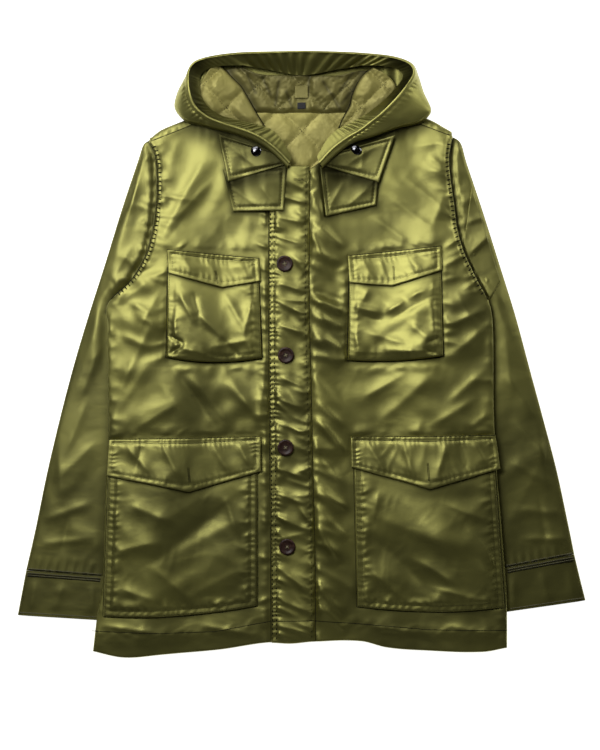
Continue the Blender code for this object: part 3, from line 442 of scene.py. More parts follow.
def gathers(points, sides, pitch, depth, reach, seed, tilt=0.0):
    """Uneven ridges that start at a seam and run away from it, each (x, y, ux, uy, length, width, height)."""
    dice, ridges = np.random.default_rng(seed), []
    line = np.array(points, float)
    steps = np.hypot(*np.diff(line, axis=0).T)
    ends = np.concatenate([[0], np.cumsum(steps)])
    for side in sides:
        at = pitch * dice.uniform(0.2, 1.0)
        while at < ends[-1]:
            i = min(int(np.searchsorted(ends, at, side="right")) - 1, len(steps) - 1)
            share = (at - ends[i]) / max(steps[i], 1e-6)
            way = math.atan2(line[i + 1, 1] - line[i, 1],
                line[i + 1, 0] - line[i, 0]) + side * math.pi / 2 + tilt + dice.normal(0, 0.30)
            x, y = mix(line[i], line[i + 1], share)
            grown = dice.uniform(0.45, 1.5) * (1.9 if dice.uniform() < 0.16 else 1.0)
            ridges.append((x, y, math.cos(way), math.sin(way), reach * grown,
                pitch * dice.uniform(0.30, 0.62), depth * dice.uniform(0.4, 1.3)))
            at += pitch * dice.uniform(0.55, 1.6)
    return ridges


def gather_height(ridges, x, y):
    total = np.zeros(np.broadcast(x, y).shape)
    x, y = np.broadcast_to(x, total.shape), np.broadcast_to(y, total.shape)
    for x0, y0, ux, uy, length, width, height in ridges:
        near = (np.abs(x - x0) < length * 1.2) & (np.abs(y - y0) < length * 1.2)
        dx, dy = x[near] - x0, y[near] - y0
        a, b = (dx * ux + dy * uy) / length, dy * ux - dx * uy
        b = (b + 0.10 * length * a * a) / (width * (0.75 + 0.9 * np.clip(a, 0, 1)))
        total[near] += height * np.exp(1.2 * (0.3 - np.sqrt(b * b + 0.09))) * ease(-0.02,
            2.2 / length + 0.02, a) * (1 - ease(0.25, 1.0, a))
    return total


def inside_of(corners, x, y):
    """How far a point is inside a convex outline whose corners run counter-clockwise, negative outside it."""
    best = np.full(np.broadcast(x, y).shape, 1e9)
    for (ax, ay), (bx, by) in zip(corners, corners[1:] + corners[:1]):
        length = math.hypot(bx - ax, by - ay)
        best = np.minimum(best, ((bx - ax) * (y - ay) - (by - ay) * (x - ax)) / length)
    return best


print("three ridges at a seam:", len(gathers([(0, 0), (30, 0)], (1,), 12, 1.0, 20, 5)))

# %% [markdown]
# ## A shell of cloth
# `shell` adds Blender's grid primitive, extrudes it once in edit mode so that it has
# an upper and a lower skin with a rim between, and then sets every point. The lines
# of the grid are closer together at its border, where the folded edge of the cloth
# turns down, so the edge is round and not a step.


# %% Making cloth
PIECES = {}


def placed(x, y, z):
    return np.stack([(x - CENTRE_X) * MM, (y - CENTRE_Y) * MM, z * MM], axis=-1).reshape(-1, 3)


def set_points(piece, points):
    piece.data.vertices.foreach_set("co", np.ascontiguousarray(points, dtype=np.float32).ravel())
    piece.data.update()


def new_grid(name, x):
    rows, columns = x.shape
    bpy.ops.object.select_all(action="DESELECT")
    bpy.ops.mesh.primitive_grid_add(x_subdivisions=columns - 1, y_subdivisions=rows - 1, size=1)
    piece = bpy.context.object
    piece.name = piece.data.name = name
    return piece


def dressed(piece, finish, angle=60):
    """Gives a finished piece its material and smooth shading, and keeps it by name."""
    piece.data.materials.clear()
    piece.data.materials.append(finish)
    bpy.ops.object.select_all(action="DESELECT")
    piece.select_set(True)
    bpy.context.view_layer.objects.active = piece
    bpy.ops.object.shade_smooth_by_angle(angle=math.radians(angle))
    PIECES[piece.name] = piece
    return piece


def shell(name, x, y, low, high, finish):
    piece = new_grid(name, x)
    bpy.ops.object.mode_set(mode="EDIT")
    bpy.ops.mesh.select_all(action="SELECT")
    bpy.ops.mesh.extrude_region_move(TRANSFORM_OT_translate={"value": (0, 0, 0.1)})
    bpy.ops.object.mode_set(mode="OBJECT")
    set_points(piece, np.concatenate([placed(x, y, low), placed(x, y, high)]))
    return dressed(piece, finish)


def spread(length, step, edge):
    """Shares of a length for the lines of a grid, closer together at both ends."""
    near = np.array([0, 0.12, 0.36, 0.68, 1.0]) * edge
    inner = np.linspace(edge, length - edge, max(2, round((length - 2 * edge) / step)) + 1)[1:-1]
    return np.concatenate([near, inner, length - near[::-1]]) / length


def lay(name, plan, top, under, size, finish, step=(STEP, STEP), edge=2.4):
    """Lays a panel of cloth between two heights, with a rounded edge all round."""
    v, u = np.meshgrid(spread(size[1], step[1], edge), spread(size[0], step[0], edge), indexing="ij")
    x, y = plan(u, v)
    inset = np.minimum(np.minimum(u, 1 - u) * size[0], np.minimum(v, 1 - v) * size[1])
    roll = np.sqrt(1 - (1 - np.clip(inset / edge, 0, 1)) ** 2)
    low, high = under(x, y), top(x, y)
    middle, half = (low + high) / 2, (high - low) / 2
    half = 0.15 + (half - 0.15) * roll
    return shell(name, x, y, middle - half, middle + half, finish)


def bend(name, x, y, z, finish, wall, closed=False):
    """Bends a grid through points in space and gives it a wall on its inner side."""
    piece = new_grid(name, x)
    set_points(piece, placed(x, y, z))
    bpy.ops.object.mode_set(mode="EDIT")
    bpy.ops.mesh.select_all(action="SELECT")
    if closed:
        bpy.ops.mesh.remove_doubles(threshold=0.00002)
    bpy.ops.object.mode_set(mode="OBJECT")
    solid = piece.modifiers.new("wall", "SOLIDIFY")
    solid.thickness = abs(wall) * MM
    solid.offset = -1.0 if wall > 0 else 1.0
    bpy.ops.object.modifier_apply(modifier="wall")
    return dressed(piece, finish)


def thin_line(name, lines, height, finish, radius, lift=0.0):
    """Lays a thin round line on the cloth along each seam: a curve with a bevel, made a mesh."""
    curve = bpy.data.curves.new(name, "CURVE")
    curve.dimensions, curve.bevel_depth, curve.bevel_resolution, curve.use_fill_caps = "3D", radius * MM, 1, True
    for points in lines:
        points = np.array(points, float)
        ends = np.concatenate([[0], np.cumsum(np.hypot(*np.diff(points[:, :2], axis=0).T))])
        at = np.linspace(0, ends[-1], max(2, round(ends[-1] / 2.5)))
        spot = np.stack([np.interp(at, ends, column) for column in points.T])
        z = (height(spot[0], spot[1]) if height else spot[2]) + lift
        spline = curve.splines.new("POLY")
        spline.points.add(len(at) - 1)
        spline.points.foreach_set("co", np.concatenate([placed(spot[0], spot[1], z), np.ones((len(at), 1))],
            axis=1).ravel())
    piece = bpy.data.objects.new(name, curve)
    bpy.context.scene.collection.objects.link(piece)
    bpy.ops.object.select_all(action="DESELECT")
    piece.select_set(True)
    bpy.context.view_layer.objects.active = piece
    bpy.ops.object.convert(target="MESH")
    return dressed(bpy.context.object, finish)


print("a grid 100 mm long gets", len(spread(100, STEP, 2.4)), "lines")

# %% [markdown]
# ## Finishes
# Shader sums are easier to read as sums. `Wire` wraps a socket and overloads the
# signs that are used, and `Finish.node` adds any other node. Each finish is one
# material whose colour, roughness and bump come from its own nodes.


# %% Shader helpers
class Wire:
    """A socket that takes part in sums: each sign adds one Math node."""

    def __init__(self, finish, socket):
        self.finish, self.socket = finish, socket

    def math(self, operation, *values):
        return self.finish.node("ShaderNodeMath", {"operation": operation}, dict(enumerate(values)))

    def __add__(self, other):
        return self.math("ADD", self, other)

    def __sub__(self, other):
        return self.math("SUBTRACT", self, other)

    def __mul__(self, other):
        return self.math("MULTIPLY", self, other)

    def __rsub__(self, other):
        return self.math("SUBTRACT", other, self)

    __radd__, __rmul__ = __add__, __mul__


class Finish:
    """One material, built from a Principled shader and the nodes that feed it."""

    def __init__(self, name, colour, roughness, **constants):
        self.material = bpy.data.materials.new(name)
        self.material.use_nodes = True
        self.tree = self.material.node_tree
        self.shader = self.tree.nodes["Principled BSDF"]
        self.put("Base Color", (*colour, 1.0))
        self.put("Roughness", roughness)
        for socket, value in constants.items():
            self.put(socket.replace("_", " ").title().replace("Ior", "IOR"), value)

    def put(self, socket, value):
        if isinstance(value, Wire):
            self.tree.links.new(value.socket, self.shader.inputs[socket])
        else:
            self.shader.inputs[socket].default_value = value

    def node(self, kind, settings=None, values=None, out=0):
        made = self.tree.nodes.new(kind)
        for name, value in (settings or {}).items():
            if name == "stops":
                ramp = made.color_ramp
                while len(ramp.elements) < len(value):
                    ramp.elements.new(0.5)
                for element, (place, colour) in zip(ramp.elements, value):
                    element.position, element.color = place, (*colour, 1.0)
            else:
                setattr(made, name, value)
        for name, value in (values or {}).items():
            if isinstance(value, Wire):
                self.tree.links.new(value.socket, made.inputs[name])
            else:
                made.inputs[name].default_value = value
        return Wire(self, made.outputs[out])

    def place(self, turn=0.0, scale=(1, 1, 1)):
        at = self.node("ShaderNodeTexCoord", out="Object")
        return self.node("ShaderNodeMapping", values={"Vector": at, "Rotation": (0, 0, math.radians(turn)),
            "Scale": scale})

    def noise(self, at, scale, detail=2.0, rough=0.5, distort=0.0):
        return self.node("ShaderNodeTexNoise", values={"Vector": at, "Scale": scale, "Detail": detail,
            "Roughness": rough, "Distortion": distort})

    def lines(self, turn, pitch, distort=0.0):
        """Fine parallel lines, pitch in metres."""
        return self.node("ShaderNodeTexWave", {"wave_type": "BANDS", "bands_direction": "X"},
            {"Vector": self.place(turn), "Scale": 0.314 / pitch / 2, "Distortion": distort, "Detail": 1.0})

    def range(self, value, low, high, to_low, to_high):
        return self.node("ShaderNodeMapRange", {"interpolation_type": "SMOOTHSTEP"},
            {"Value": value, "From Min": low, "From Max": high, "To Min": to_low, "To Max": to_high})

    def blend(self, share, one, two):
        values = {"Factor": share, 6: one if isinstance(one, Wire) else (*one, 1.0),
            7: two if isinstance(two, Wire) else (*two, 1.0)}
        return self.node("ShaderNodeMix", {"data_type": "RGBA"}, values, out=2)

    def bump(self, height, metres, strength=1.0, under=None):
        values = {"Height": height, "Distance": metres, "Strength": strength}
        if under is not None:
            values["Normal"] = under
        return self.node("ShaderNodeBump", values=values)


# %% [markdown]
# ### Satin nylon
# The shell is a tightly woven nylon with a satin face: it mirrors a soft light as
# broad streaks in its own colour, so the shader is mostly metallic. Its twill is far
# below a millimetre. What the eye sees are small crinkles, so a stretched noise and
# a broad one bump it, and the colour wanders a little, as piece-dyed nylon does.


# %% Satin, lining, thread, horn, enamel and tape
def satin(name, tone=1.0, seed=0.0, coat=0.5):
    base = (0.300 * tone, 0.287 * tone, 0.068 * tone)
    made = Finish(name, base, 0.48, metallic=0.87, coat_roughness=0.45)
    at = made.node("ShaderNodeVectorMath", {"operation": "ADD"},
        {0: made.place(), 1: (seed, seed * 0.7, 0.0)})
    broad = made.noise(at, 9.0, 3.0, 0.55)
    dye = made.noise(at, 2.6, 2.0, 0.5)
    light, deep = [c * 1.18 for c in base], [c * 0.80 for c in base]
    colour = made.blend(made.range(dye * 0.5 + broad * 0.5, 0.3, 0.7, 0.0, 1.0), deep, light)
    # The 'hollow' attribute is painted shade: where it is 1 the colour is darkened and the coat taken away.
    hollow = made.node("ShaderNodeAttribute", {"attribute_name": "hollow"}, out="Fac")
    made.put("Base Color", made.blend(hollow, colour, [c * 0.10 for c in base]))
    made.put("Coat Weight", (1 - hollow) * coat)
    made.put("Roughness", made.range(broad, 0.3, 0.72, 0.41, 0.48))
    twill = made.lines(-58.0, 0.00075)
    fine = made.noise(at, 120.0, 2.0, 0.6, 0.6)
    crush = made.noise(made.place(24.0, (1.0, 1.6, 1.0)), 27.0, 1.5, 0.40, 0.5)
    soft = made.bump(crush, 0.0006)
    grainy = made.bump(fine, 0.00008, under=soft)
    made.put("Normal", made.bump(twill, 0.00003, 0.5, under=grainy))
    return made.material


def quilted(name, tone=1.0):
    base = (0.37 * tone, 0.33 * tone, 0.088 * tone)
    made = Finish(name, base, 0.5, metallic=0.4)
    at = made.place()
    broad, small = made.noise(at, 14.0, 3.0), made.noise(at, 90.0, 2.0, 0.6, 0.4)
    colour = made.blend(made.range(broad, 0.3, 0.7, 0.0, 1.0), [c * 0.84 for c in base],
        [c * 1.12 for c in base])
    # The 'hollow' attribute is painted shade: it darkens the lining's colour.
    hollow = made.node("ShaderNodeAttribute", {"attribute_name": "hollow"}, out="Fac")
    made.put("Base Color", made.blend(hollow, colour, [c * 0.14 for c in base]))
    made.put("Roughness", made.range(small, 0.3, 0.7, 0.46, 0.6))
    weave = made.lines(0.0, 0.0007) * made.lines(90.0, 0.0007)
    crush = made.bump(made.noise(made.place(0.0, (1.3, 1.0, 1.0)), 38.0, 3.0, 0.5, 0.8), 0.0009)
    made.put("Normal", made.bump(weave, 0.00004, 0.6, under=made.bump(small, 0.0003, under=crush)))
    return made.material


def yarn(name, colour):
    made = Finish(name, colour, 0.75, specular_ior_level=0.2)
    twist = made.lines(45.0, 0.0006)
    made.put("Base Color", made.blend(twist, [c * 0.7 for c in colour], [c * 1.15 for c in colour]))
    made.put("Normal", made.bump(twist, 0.0001))
    return made.material


def horn(name):
    made = Finish(name, (0.05, 0.022, 0.014), 0.4, specular_ior_level=0.35)
    at = made.place(20.0, (1.0, 2.6, 1.0))
    veins = made.noise(at, 160.0, 4.0, 0.6, 1.6)
    clouds = made.noise(at, 55.0, 2.0)
    streak = made.range(veins, 0.38, 0.66, 0.0, 1.0) * made.range(clouds, 0.35, 0.7, 0.25, 1.0)
    made.put("Base Color", made.blend(streak, (0.026, 0.011, 0.008), (0.10, 0.048, 0.030)))
    made.put("Roughness", made.range(veins, 0.3, 0.7, 0.32, 0.46))
    made.put("Normal", made.bump(veins, 0.00008))
    return made.material


def enamel(name):
    made = Finish(name, (0.10, 0.10, 0.11), 0.12, metallic=1.0, coat_weight=0.8, coat_roughness=0.05)
    worn = made.range(made.noise(made.place(), 420.0, 3.0, 0.6), 0.62, 0.72, 0.0, 1.0)
    made.put("Base Color", made.blend(worn, (0.10, 0.10, 0.11), (0.42, 0.42, 0.42)))
    made.put("Roughness", made.range(worn, 0.0, 1.0, 0.10, 0.34))
    made.put("Normal", made.bump(made.noise(made.place(), 150.0), 0.0001))
    return made.material


def tape(name):
    made = Finish(name, (0.014, 0.014, 0.016), 0.66, sheen_weight=0.2)
    weave = made.lines(0.0, 0.0008) * made.lines(90.0, 0.0005)
    made.put("Base Color", made.blend(weave, (0.008, 0.008, 0.009), (0.030, 0.030, 0.033)))
    made.put("Normal", made.bump(weave, 0.00012))
    return made.material


SHELL = satin("shell_satin")
# The sleeves, cuffs and arm pocket are a darker copy of the satin: painted shade, as less light reaches them.
SHADED_SLEEVE_SHELL = satin("sleeve_satin", 0.88, 3.1)
PLACKET_SHELL = satin("placket_satin", 1.04, 9.3)
POCKET_SHELL = satin("pocket_satin", 1.0, 7.7)
# The collar flaps are a darker copy of the satin: painted shade under the hood.
SHADED_COLLAR_SHELL = satin("collar_satin", 0.86, 2.4)
# The rim fold is a lighter copy of the satin: a painted highlight along the hood's rim.
HIGHLIGHT_EDGE_SHELL = satin("rim_satin", 1.25, 4.4)
BRIM_SHELL = satin("hood_satin", 1.08, 5.2)
# The hood's band is a darker copy of the satin with less coat: painted shade for the band deep inside the rim.
SHADED_BAND_SHELL = satin("hood_band_satin", 0.66, 6.6, 0.2)
LINING = quilted("quilted_lining", 1.06)
# The hood's lining is a much darker copy of the lining: painted shade inside the hood.
SHADED_HOOD_LINING = quilted("hood_quilted_lining", 0.60)
EAR_LINING = quilted("ear_quilted_lining", 1.0)
YARN = yarn("sewing_thread", (0.075, 0.070, 0.022))
# A near-black thread that stands for shade: painted shadow in needle pits, seams and quilted lines.
SHADE_YARN = yarn("sunk_thread", (0.018, 0.017, 0.005))
PALE_YARN = yarn("button_thread", (0.42, 0.38, 0.22))
GREY_YARN = yarn("cuff_thread", (0.20, 0.19, 0.12))
HORN = horn("button_horn")
ENAMEL = enamel("snap_enamel")
TAPE = tape("label_tape")
print("finishes:", ", ".join(m.name for m in (SHELL, SHADED_SLEEVE_SHELL, PLACKET_SHELL, POCKET_SHELL,
    SHADED_COLLAR_SHELL, HIGHLIGHT_EDGE_SHELL, BRIM_SHELL, SHADED_BAND_SHELL, LINING, SHADED_HOOD_LINING, EAR_LINING, YARN, SHADE_YARN,
    PALE_YARN, GREY_YARN, HORN, ENAMEL, TAPE)))

# %% [markdown]
# ## Seams and listed creases
# Each seam is a line of points. The creases were read off the garment one by one:
# where nylon is crushed it keeps narrow ridges with long sloping flanks.

# %% Seam lines and creases
def line_of(rows, column, sign, low, high, inward=0.0, steps=24):
    return [(sign * (float(through(rows, "y", column, y)) - inward), float(y))
        for y in np.linspace(low, high, steps)]


def corners_of(part):
    """The outline of a pocket, a flap or a collar flap, counter-clockwise."""
    if isinstance(part, Pocket):
        return [(part.left_bottom, part.bottom_left),
            (mix(part.left_bottom, part.right_bottom, 0.5), part.bottom_mid - 1),
            (part.right_bottom, part.bottom_right), (part.right_top, part.top), (part.left_top, part.top)]
    if isinstance(part, Flap):
        return [(part.left_bottom, part.end_left), (part.point_x, part.point_y),
            (part.right_bottom, part.end_right), (part.right_top, part.top_right),
            (part.left_top, part.top_left)]
    ring = [part.neck_bottom, part.outer_bottom, part.outer_top, part.neck_top]
    return ring if part.neck_bottom[0] < part.outer_bottom[0] else ring[::-1]


SEWN_ON = [corners_of(part) for table in (CHEST_POCKETS, LOWER_POCKETS, CHEST_FLAPS, LOWER_FLAPS,
    THROAT_FLAPS) for part in table.values()]
HEM_LINES = {"right": [(-298, -392), (-200, -396), (-124, -394), (-44, -379)],
    "left": [(18, -378), (84, -383), (177, -391), (291, -391)]}


def beside(part, edge):
    """One side edge of a pocket, for the ripples in the panel beside it."""
    top, bottom = (part.left_top, part.left_bottom) if edge == "left" else (part.right_top, part.right_bottom)
    return [(top, part.top), (mix(top, bottom, 0.5), mix(part.top, part.bottom_mid, 0.5)),
        (bottom, part.bottom_mid)]


FRONT_GATHERS = [
    *gathers(line_of(BODY_EDGE, "right", -1, 84, 303, 0.5), (-1,), 12.0, 2.3, 26, 301),
    *gathers(line_of(BODY_EDGE, "left", 1, 84, 310, 0.5), (1,), 11.5, 2.3, 26, 302),
    *gathers(line_of(BODY_EDGE, "right", -1, -418, 84, 0.5), (-1,), 19.0, 1.7, 24, 303),
    *gathers(line_of(BODY_EDGE, "left", 1, -416, 84, 0.5), (1,), 19.0, 1.7, 24, 304),
    *gathers(line_of(PLACKET_SEAM, "x", 1, -408, 262, -1.0), (-1,), 16.0, 2.8, 54, 305, -0.65),
    *gathers(line_of(PLACKET_EDGE, "x", 1, -408, 262, 1.0), (1,), 11.0, 2.2, 20, 306),
    *gathers(HEM_LINES["right"], (1, -1), 15.0, 0.7, 14, 307, 0.4),
    *gathers(HEM_LINES["left"], (1, -1), 15.0, 0.7, 14, 308, 0.4),
    *gathers(beside(CHEST_POCKETS["right"], "left"), (-1,), 14.0, 2.0, 30, 309),
    *gathers(beside(CHEST_POCKETS["left"], "right"), (1,), 14.0, 2.0, 30, 310),
    *gathers(beside(CHEST_POCKETS["left"], "left"), (-1,), 13.0, 1.8, 22, 311),
    *gathers([(-62, 147), (-192, 152)], (-1,), 15.0, 1.2, 16, 312),
    *gathers([(198, 156), (66, 144)], (-1,), 15.0, 1.2, 16, 313),
    *gathers([(-58, -112), (-274, -116)], (-1,), 17.0, 1.2, 18, 314),
    *gathers([(274, -112), (69, -114)], (-1,), 17.0, 1.2, 18, 315),
    *gathers([(-192, -16), (-57, -16)], (-1,), 16.0, 1.1, 16, 316),
    *gathers([(65, -18), (200, -12)], (-1,), 16.0, 1.1, 16, 317),
]
FRONT_CREASES = [Crease(*row) for row in (
    (-138, 278, -200, 164, 26, 2.3), (-125, 251, -185, 185, 20, 1.7), (-196, 156, -160, 206, 18, -0.7),
    (-88, 262, -74, 176, 22, 1.3),
    (-214, 262, -190, 200, 18, 1.4), (-66, 230, -98, 160, 24, -0.8), (-244, 75, -207, 53, 14, 1.7),
    (-240, 62, -193, 32, 18, 1.8),
    (-262, 30, -204, 6, 20, 1.4), (-198, 96, -240, 20, 20, 1.2), (-205, 60, -262, -60, 22, 1.2),
    (-215, -10, -268, -90, 26, 1.1),
    (-188, -12, -124, -102, 20, -1.7), (-206, -34, -150, -106, 28, 1.1), (-160, -24, -100, -104, 26, 1.5),
    (-120, -28, -66, -84, 26, 1.2), (-240, -108, -170, -66, 22, 1.2), (-110, -24, -56, -98, 22, 1.4),
    (-56, 110, -66, 20, 12, 1.1), (-52, -20, -64, -112, 14, 1.1), (-284, -384, -190, -398, 12, 0.8),
    (-150, -384, -60, -400, 12, 0.9),
    (16, 80, 65, 57, 15, 2.0), (14, 92, 60, 74, 10, -1.3), (16, 57, 66, 34, 14, 1.8),
    (18, 30, 62, 4, 13, 1.2), (18, -87, 66, -144, 17, 2.4),
    (16, -62, 60, -104, 12, 1.3), (20, -130, 52, -172, 14, -1.3), (16, -188, 67, -222, 15, 2.0),
    (17, -239, 54, -295, 17, 2.2),
    (30, -228, 66, -262, 12, 1.1), (17, -320, 57, -371, 15, 1.8), (26, -352, 62, -396, 12, 1.2),
    (14, 190, 60, 150, 15, 1.7),
    (14, 150, 56, 128, 13, 1.3), (16, 232, 56, 204, 15, 1.4), (180, 283, 207, 261, 13, 1.7),
    (139, 258, 213, 198, 22, 1.9),
    (120, 226, 190, 176, 20, 1.4), (96, 200, 150, 160, 16, 1.1), (206, 236, 182, 172, 16, 1.2),
    (262, 66, 206, 40, 16, 1.6),
    (262, 40, 214, 0, 18, 1.4), (216, 96, 250, 30, 20, 1.2), (262, -20, 206, -70, 20, 1.3),
    (190, -24, 110, -96, 26, 1.5),
    (150, -24, 84, -64, 20, 1.2), (250, -60, 180, -104, 20, 1.2), (270, -80, 236, -106, 14, 0.9),
    (200, -384, 284, -398, 12, 0.8),
    (90, -384, 170, -398, 12, 0.9))]
PLACKET_CREASES = [Crease(*row) for row in (
    (-32, 226, 8, 214, 10, 0.8), (-36, 196, 6, 186, 12, 0.9), (-38, 168, 4, 156, 10, 0.8),
    (-40, 104, 8, 88, 12, 1.0), (-38, 76, 6, 58, 12, 0.9),
    (-40, 44, 8, 30, 12, 1.0), (-36, -30, 8, -48, 12, 1.0), (-38, -62, 6, -78, 12, 0.9),
    (-38, -96, 8, -112, 10, 0.8), (-36, -160, 10, -178, 12, 1.0),
    (-38, -196, 8, -214, 12, 1.0), (-36, -232, 10, -250, 12, 0.9), (-31, -305, 16, -339, 14, 1.3),
    (-36, -346, 14, -368, 12, 1.0), (-34, -384, 14, -398, 10, 0.8))]
SLEEVE_CREASES = [Crease(*row) for row in (
    (-222, 298, -262, 180, 22, 1.3), (-232, 250, -246, 200, 14, 0.9), (-262, 232, -272, 150, 18, 1.1),
    (-238, 160, -278, 96, 18, 1.2), (-246, 120, -296, 76, 16, 1.0),
    (-290, 90, -300, -40, 24, 1.2), (-284, 20, -318, -70, 20, 1.1), (-304, -60, -340, -150, 22, 1.2),
    (-290, -120, -352, -180, 20, 1.2),
    (-350, -110, -340, -210, 18, 1.0), (-296, -210, -370, -236, 18, 1.1), (-300, -262, -376, -270, 16, 1.0),
    (-330, -220, -344, -290, 16, -0.9),
    (226, 216, 246, 226, 10, 0.9), (229, 177, 261, 187, 12, -1.2), (232, 186, 264, 197, 12, 1.2),
    (243, 133, 272, 161, 12, -1.2), (236, 140, 270, 172, 12, 1.2),
    (252, 110, 288, 70, 18, 1.1), (262, 94, 300, 20, 20, 1.1), (288, 40, 300, -60, 22, 1.1),
    (284, -20, 330, -90, 20, 1.2), (300, -90, 350, -150, 20, 1.2),
    (296, -150, 360, -190, 18, 1.1), (340, -90, 346, -190, 18, 0.9), (300, -220, 372, -226, 16, 1.0),
    (310, -262, 384, -262, 14, 0.9), (336, -196, 350, -280, 16, -0.9))]
CUFF_CREASES = [Crease(*row) for row in (
    (-300, -326, -296, -372, 12, 0.8), (-340, -324, -352, -366, 14, 0.8), (-380, -320, -386, -364, 12, 0.7),
    (300, -316, 300, -362, 12, 0.8), (340, -308, 352, -356, 14, 0.8), (378, -302, 388, -348, 12, 0.7))]
CHEST_CREASES = [Crease(*row) for row in (
    (-155, 91, -143, 44, 12, -1.2), (-193, 30, -166, 14, 7, -2.2), (-166, 14, -194, -3, 7, -2.4),
    (172, 8, 200, -4, 7, -1.8), (176, 16, 198, 26, 7, -1.6), (-170, 77, -90, 7, 22, 2.0),
    (-178, 96, -150, 40, 14, 1.1), (-116, 23, -87, -5, 18, -1.6), (-184, 60, -176, 10, 12, 1.0),
    (-110, 88, -78, 30, 18, 1.3), (-70, 80, -84, 20, 14, 1.1), (-186, 14, -120, -4, 14, 1.4),
    (-130, 10, -66, 22, 14, 1.2), (-150, 4, -100, -6, 10, -1.0),
    (71, 69, 117, 58, 14, 1.7), (117, 58, 147, 77, 14, 1.6), (147, 77, 194, 106, 14, 1.5),
    (76, 56, 118, 46, 14, -1.2), (120, 46, 190, 86, 16, -1.1),
    (84, 34, 150, 14, 18, 1.5), (150, 46, 190, 14, 18, 1.4), (110, 8, 186, 2, 12, 1.2),
    (72, 40, 84, -4, 12, 1.0), (180, 80, 190, 20, 14, 1.0), (96, 98, 86, 74, 12, 1.0))]
LOWER_CREASES = [Crease(*row) for row in (
    (-268, -280, -202, -266, 22, 1.3), (-186, -286, -77, -228, 44, 1.5), (-176, -351, -74, -299, 34, 1.3),
    (-74, -191, -248, -322, 46, -1.4), (-250, -210, -180, -240, 22, 1.2),
    (-262, -330, -200, -352, 18, 1.1), (-110, -200, -90, -262, 16, 1.0), (-210, -300, -150, -356, 18, 1.0),
    (-84, -326, -70, -352, 12, 0.9), (-268, -196, -262, -250, 14, 0.8),
    (91, -224, 234, -282, 44, 1.7), (97, -256, 178, -332, 36, -1.4), (90, -300, 150, -352, 20, 1.4),
    (230, -240, 276, -300, 22, 1.3), (200, -210, 262, -236, 18, 1.1),
    (180, -330, 272, -352, 16, 1.1), (250, -290, 284, -350, 16, 1.0), (110, -190, 100, -240, 14, 0.9),
    (160, -290, 226, -330, 20, 1.2))]
FLAP_CREASES = [Crease(*row) for row in (
    (-176, 146, -150, 110, 14, 0.8), (-140, 142, -120, 110, 12, 0.7), (-96, 138, -74, 106, 14, 0.8),
    (84, 140, 100, 106, 14, 0.8), (150, 146, 168, 112, 14, 0.8), (110, 142, 118, 108, 10, 0.6),
    (-250, -128, -210, -172, 18, 0.9), (-200, -124, -170, -180, 16, 0.8), (-130, -124, -100, -172, 18, 0.9),
    (-92, -122, -74, -158, 12, 0.7), (-226, -126, -236, -166, 12, -0.6),
    (92, -124, 120, -168, 16, 0.9), (140, -120, 160, -178, 16, 0.8), (206, -122, 190, -176, 16, 0.9),
    (240, -120, 262, -160, 14, 0.8), (222, -120, 232, -166, 12, -0.6))]
THROAT_CREASES = [Crease(*row) for row in (
    (-108, 300, -60, 262, 14, 0.9), (-96, 262, -40, 270, 12, 0.8), (-84, 296, -78, 262, 10, 0.6),
    (-100, 238, -60, 208, 12, 0.9), (-60, 240, -34, 208, 12, 0.8),
    (112, 300, 60, 266, 14, 0.9), (100, 262, 48, 268, 12, 0.8), (88, 296, 84, 262, 10, 0.6),
    (98, 240, 60, 206, 12, 0.9), (60, 246, 38, 206, 12, 0.8))]
print("creases:", sum(len(t) for t in (FRONT_CREASES, PLACKET_CREASES, SLEEVE_CREASES, CUFF_CREASES,
    CHEST_CREASES, LOWER_CREASES, FLAP_CREASES, THROAT_CREASES)))


# %% [markdown]
# ## Fine form of each layer
# The fine form is added on top of the large one: creases, a light crumple that is
# never even, and the puckers of the seams. It fades out below what is sewn on, so
# that a pocket lies on a smooth panel.


# %% Fine heights
def uncovered(x, y, reach=5.0):
    """0 below anything that is sewn onto the fronts and 1 a little beside it."""
    over = np.full(np.broadcast(x, y).shape, -1e9)
    for corners in SEWN_ON:
        over = np.maximum(over, inside_of(corners, x, y))
    return 1 - ease(-reach, 0.5, over)


def front_detail(x, y):
    streaks = np.where(x < 0, crumple(x, y, 40, 11, 2.6, 58), crumple(x, y, 40, 14, 2.6, -44))
    crushed = 1 + 0.5 * ease(10, 16, x) * (1 - ease(66, 80, x))  # beside the placket's seam
    broad = mix(2.1, 1.3, ease(140, 180, y)) * crushed * crease_height(FRONT_CREASES, x,
        y) + 1.0 * streaks + 0.8 * lumps(x, y, 64, 13, 1.5, 20)
    fine = uncovered(x, y, 16.0) * broad + 0.5 * crumple(x, y, 20, 12, 2.2, -35)
    to_edge = by_side(BODY_EDGE, x, y) - np.abs(x)
    to_neck = through(FRONT_TOP, "x", "y", x) - y
    free = ease(0, 14, to_edge) * ease(2, 30, to_neck)
    middle = np.where(x < 0, ease(46, 52, -x), ease(0.5, 6, x - through(PLACKET_SEAM, "y", "x", y)))
    fell = 1.1 * (ease(0.0, 1.6, to_edge) - ease(4.4, 6.4, to_edge)) * ease(76, 92, y)
    return uncovered(x, y) * middle * (fell + free * fine
        + ease(0, 4, to_edge) * ease(0, 10, to_neck) * gather_height(FRONT_GATHERS, x, y))


def chest_free(pocket, x, y):
    across, up = pocket_share(pocket, x, y)
    border = np.minimum(across, 1 - across) * 130
    return ease(1, 12, border) * ease(0.0, 0.08, up) * (1 - ease(0.70, 0.80, up))


def chest_detail(pocket, x, y):
    fine = np.where(x < 0, 2.4, 1.8) * crease_height(CHEST_CREASES, x, y) + 1.0 * crumple(x, y, 36, 21, 2.2,
        -40) + 0.35 * crumple(x, y, 17, 22)
    return chest_free(pocket, x, y) * fine


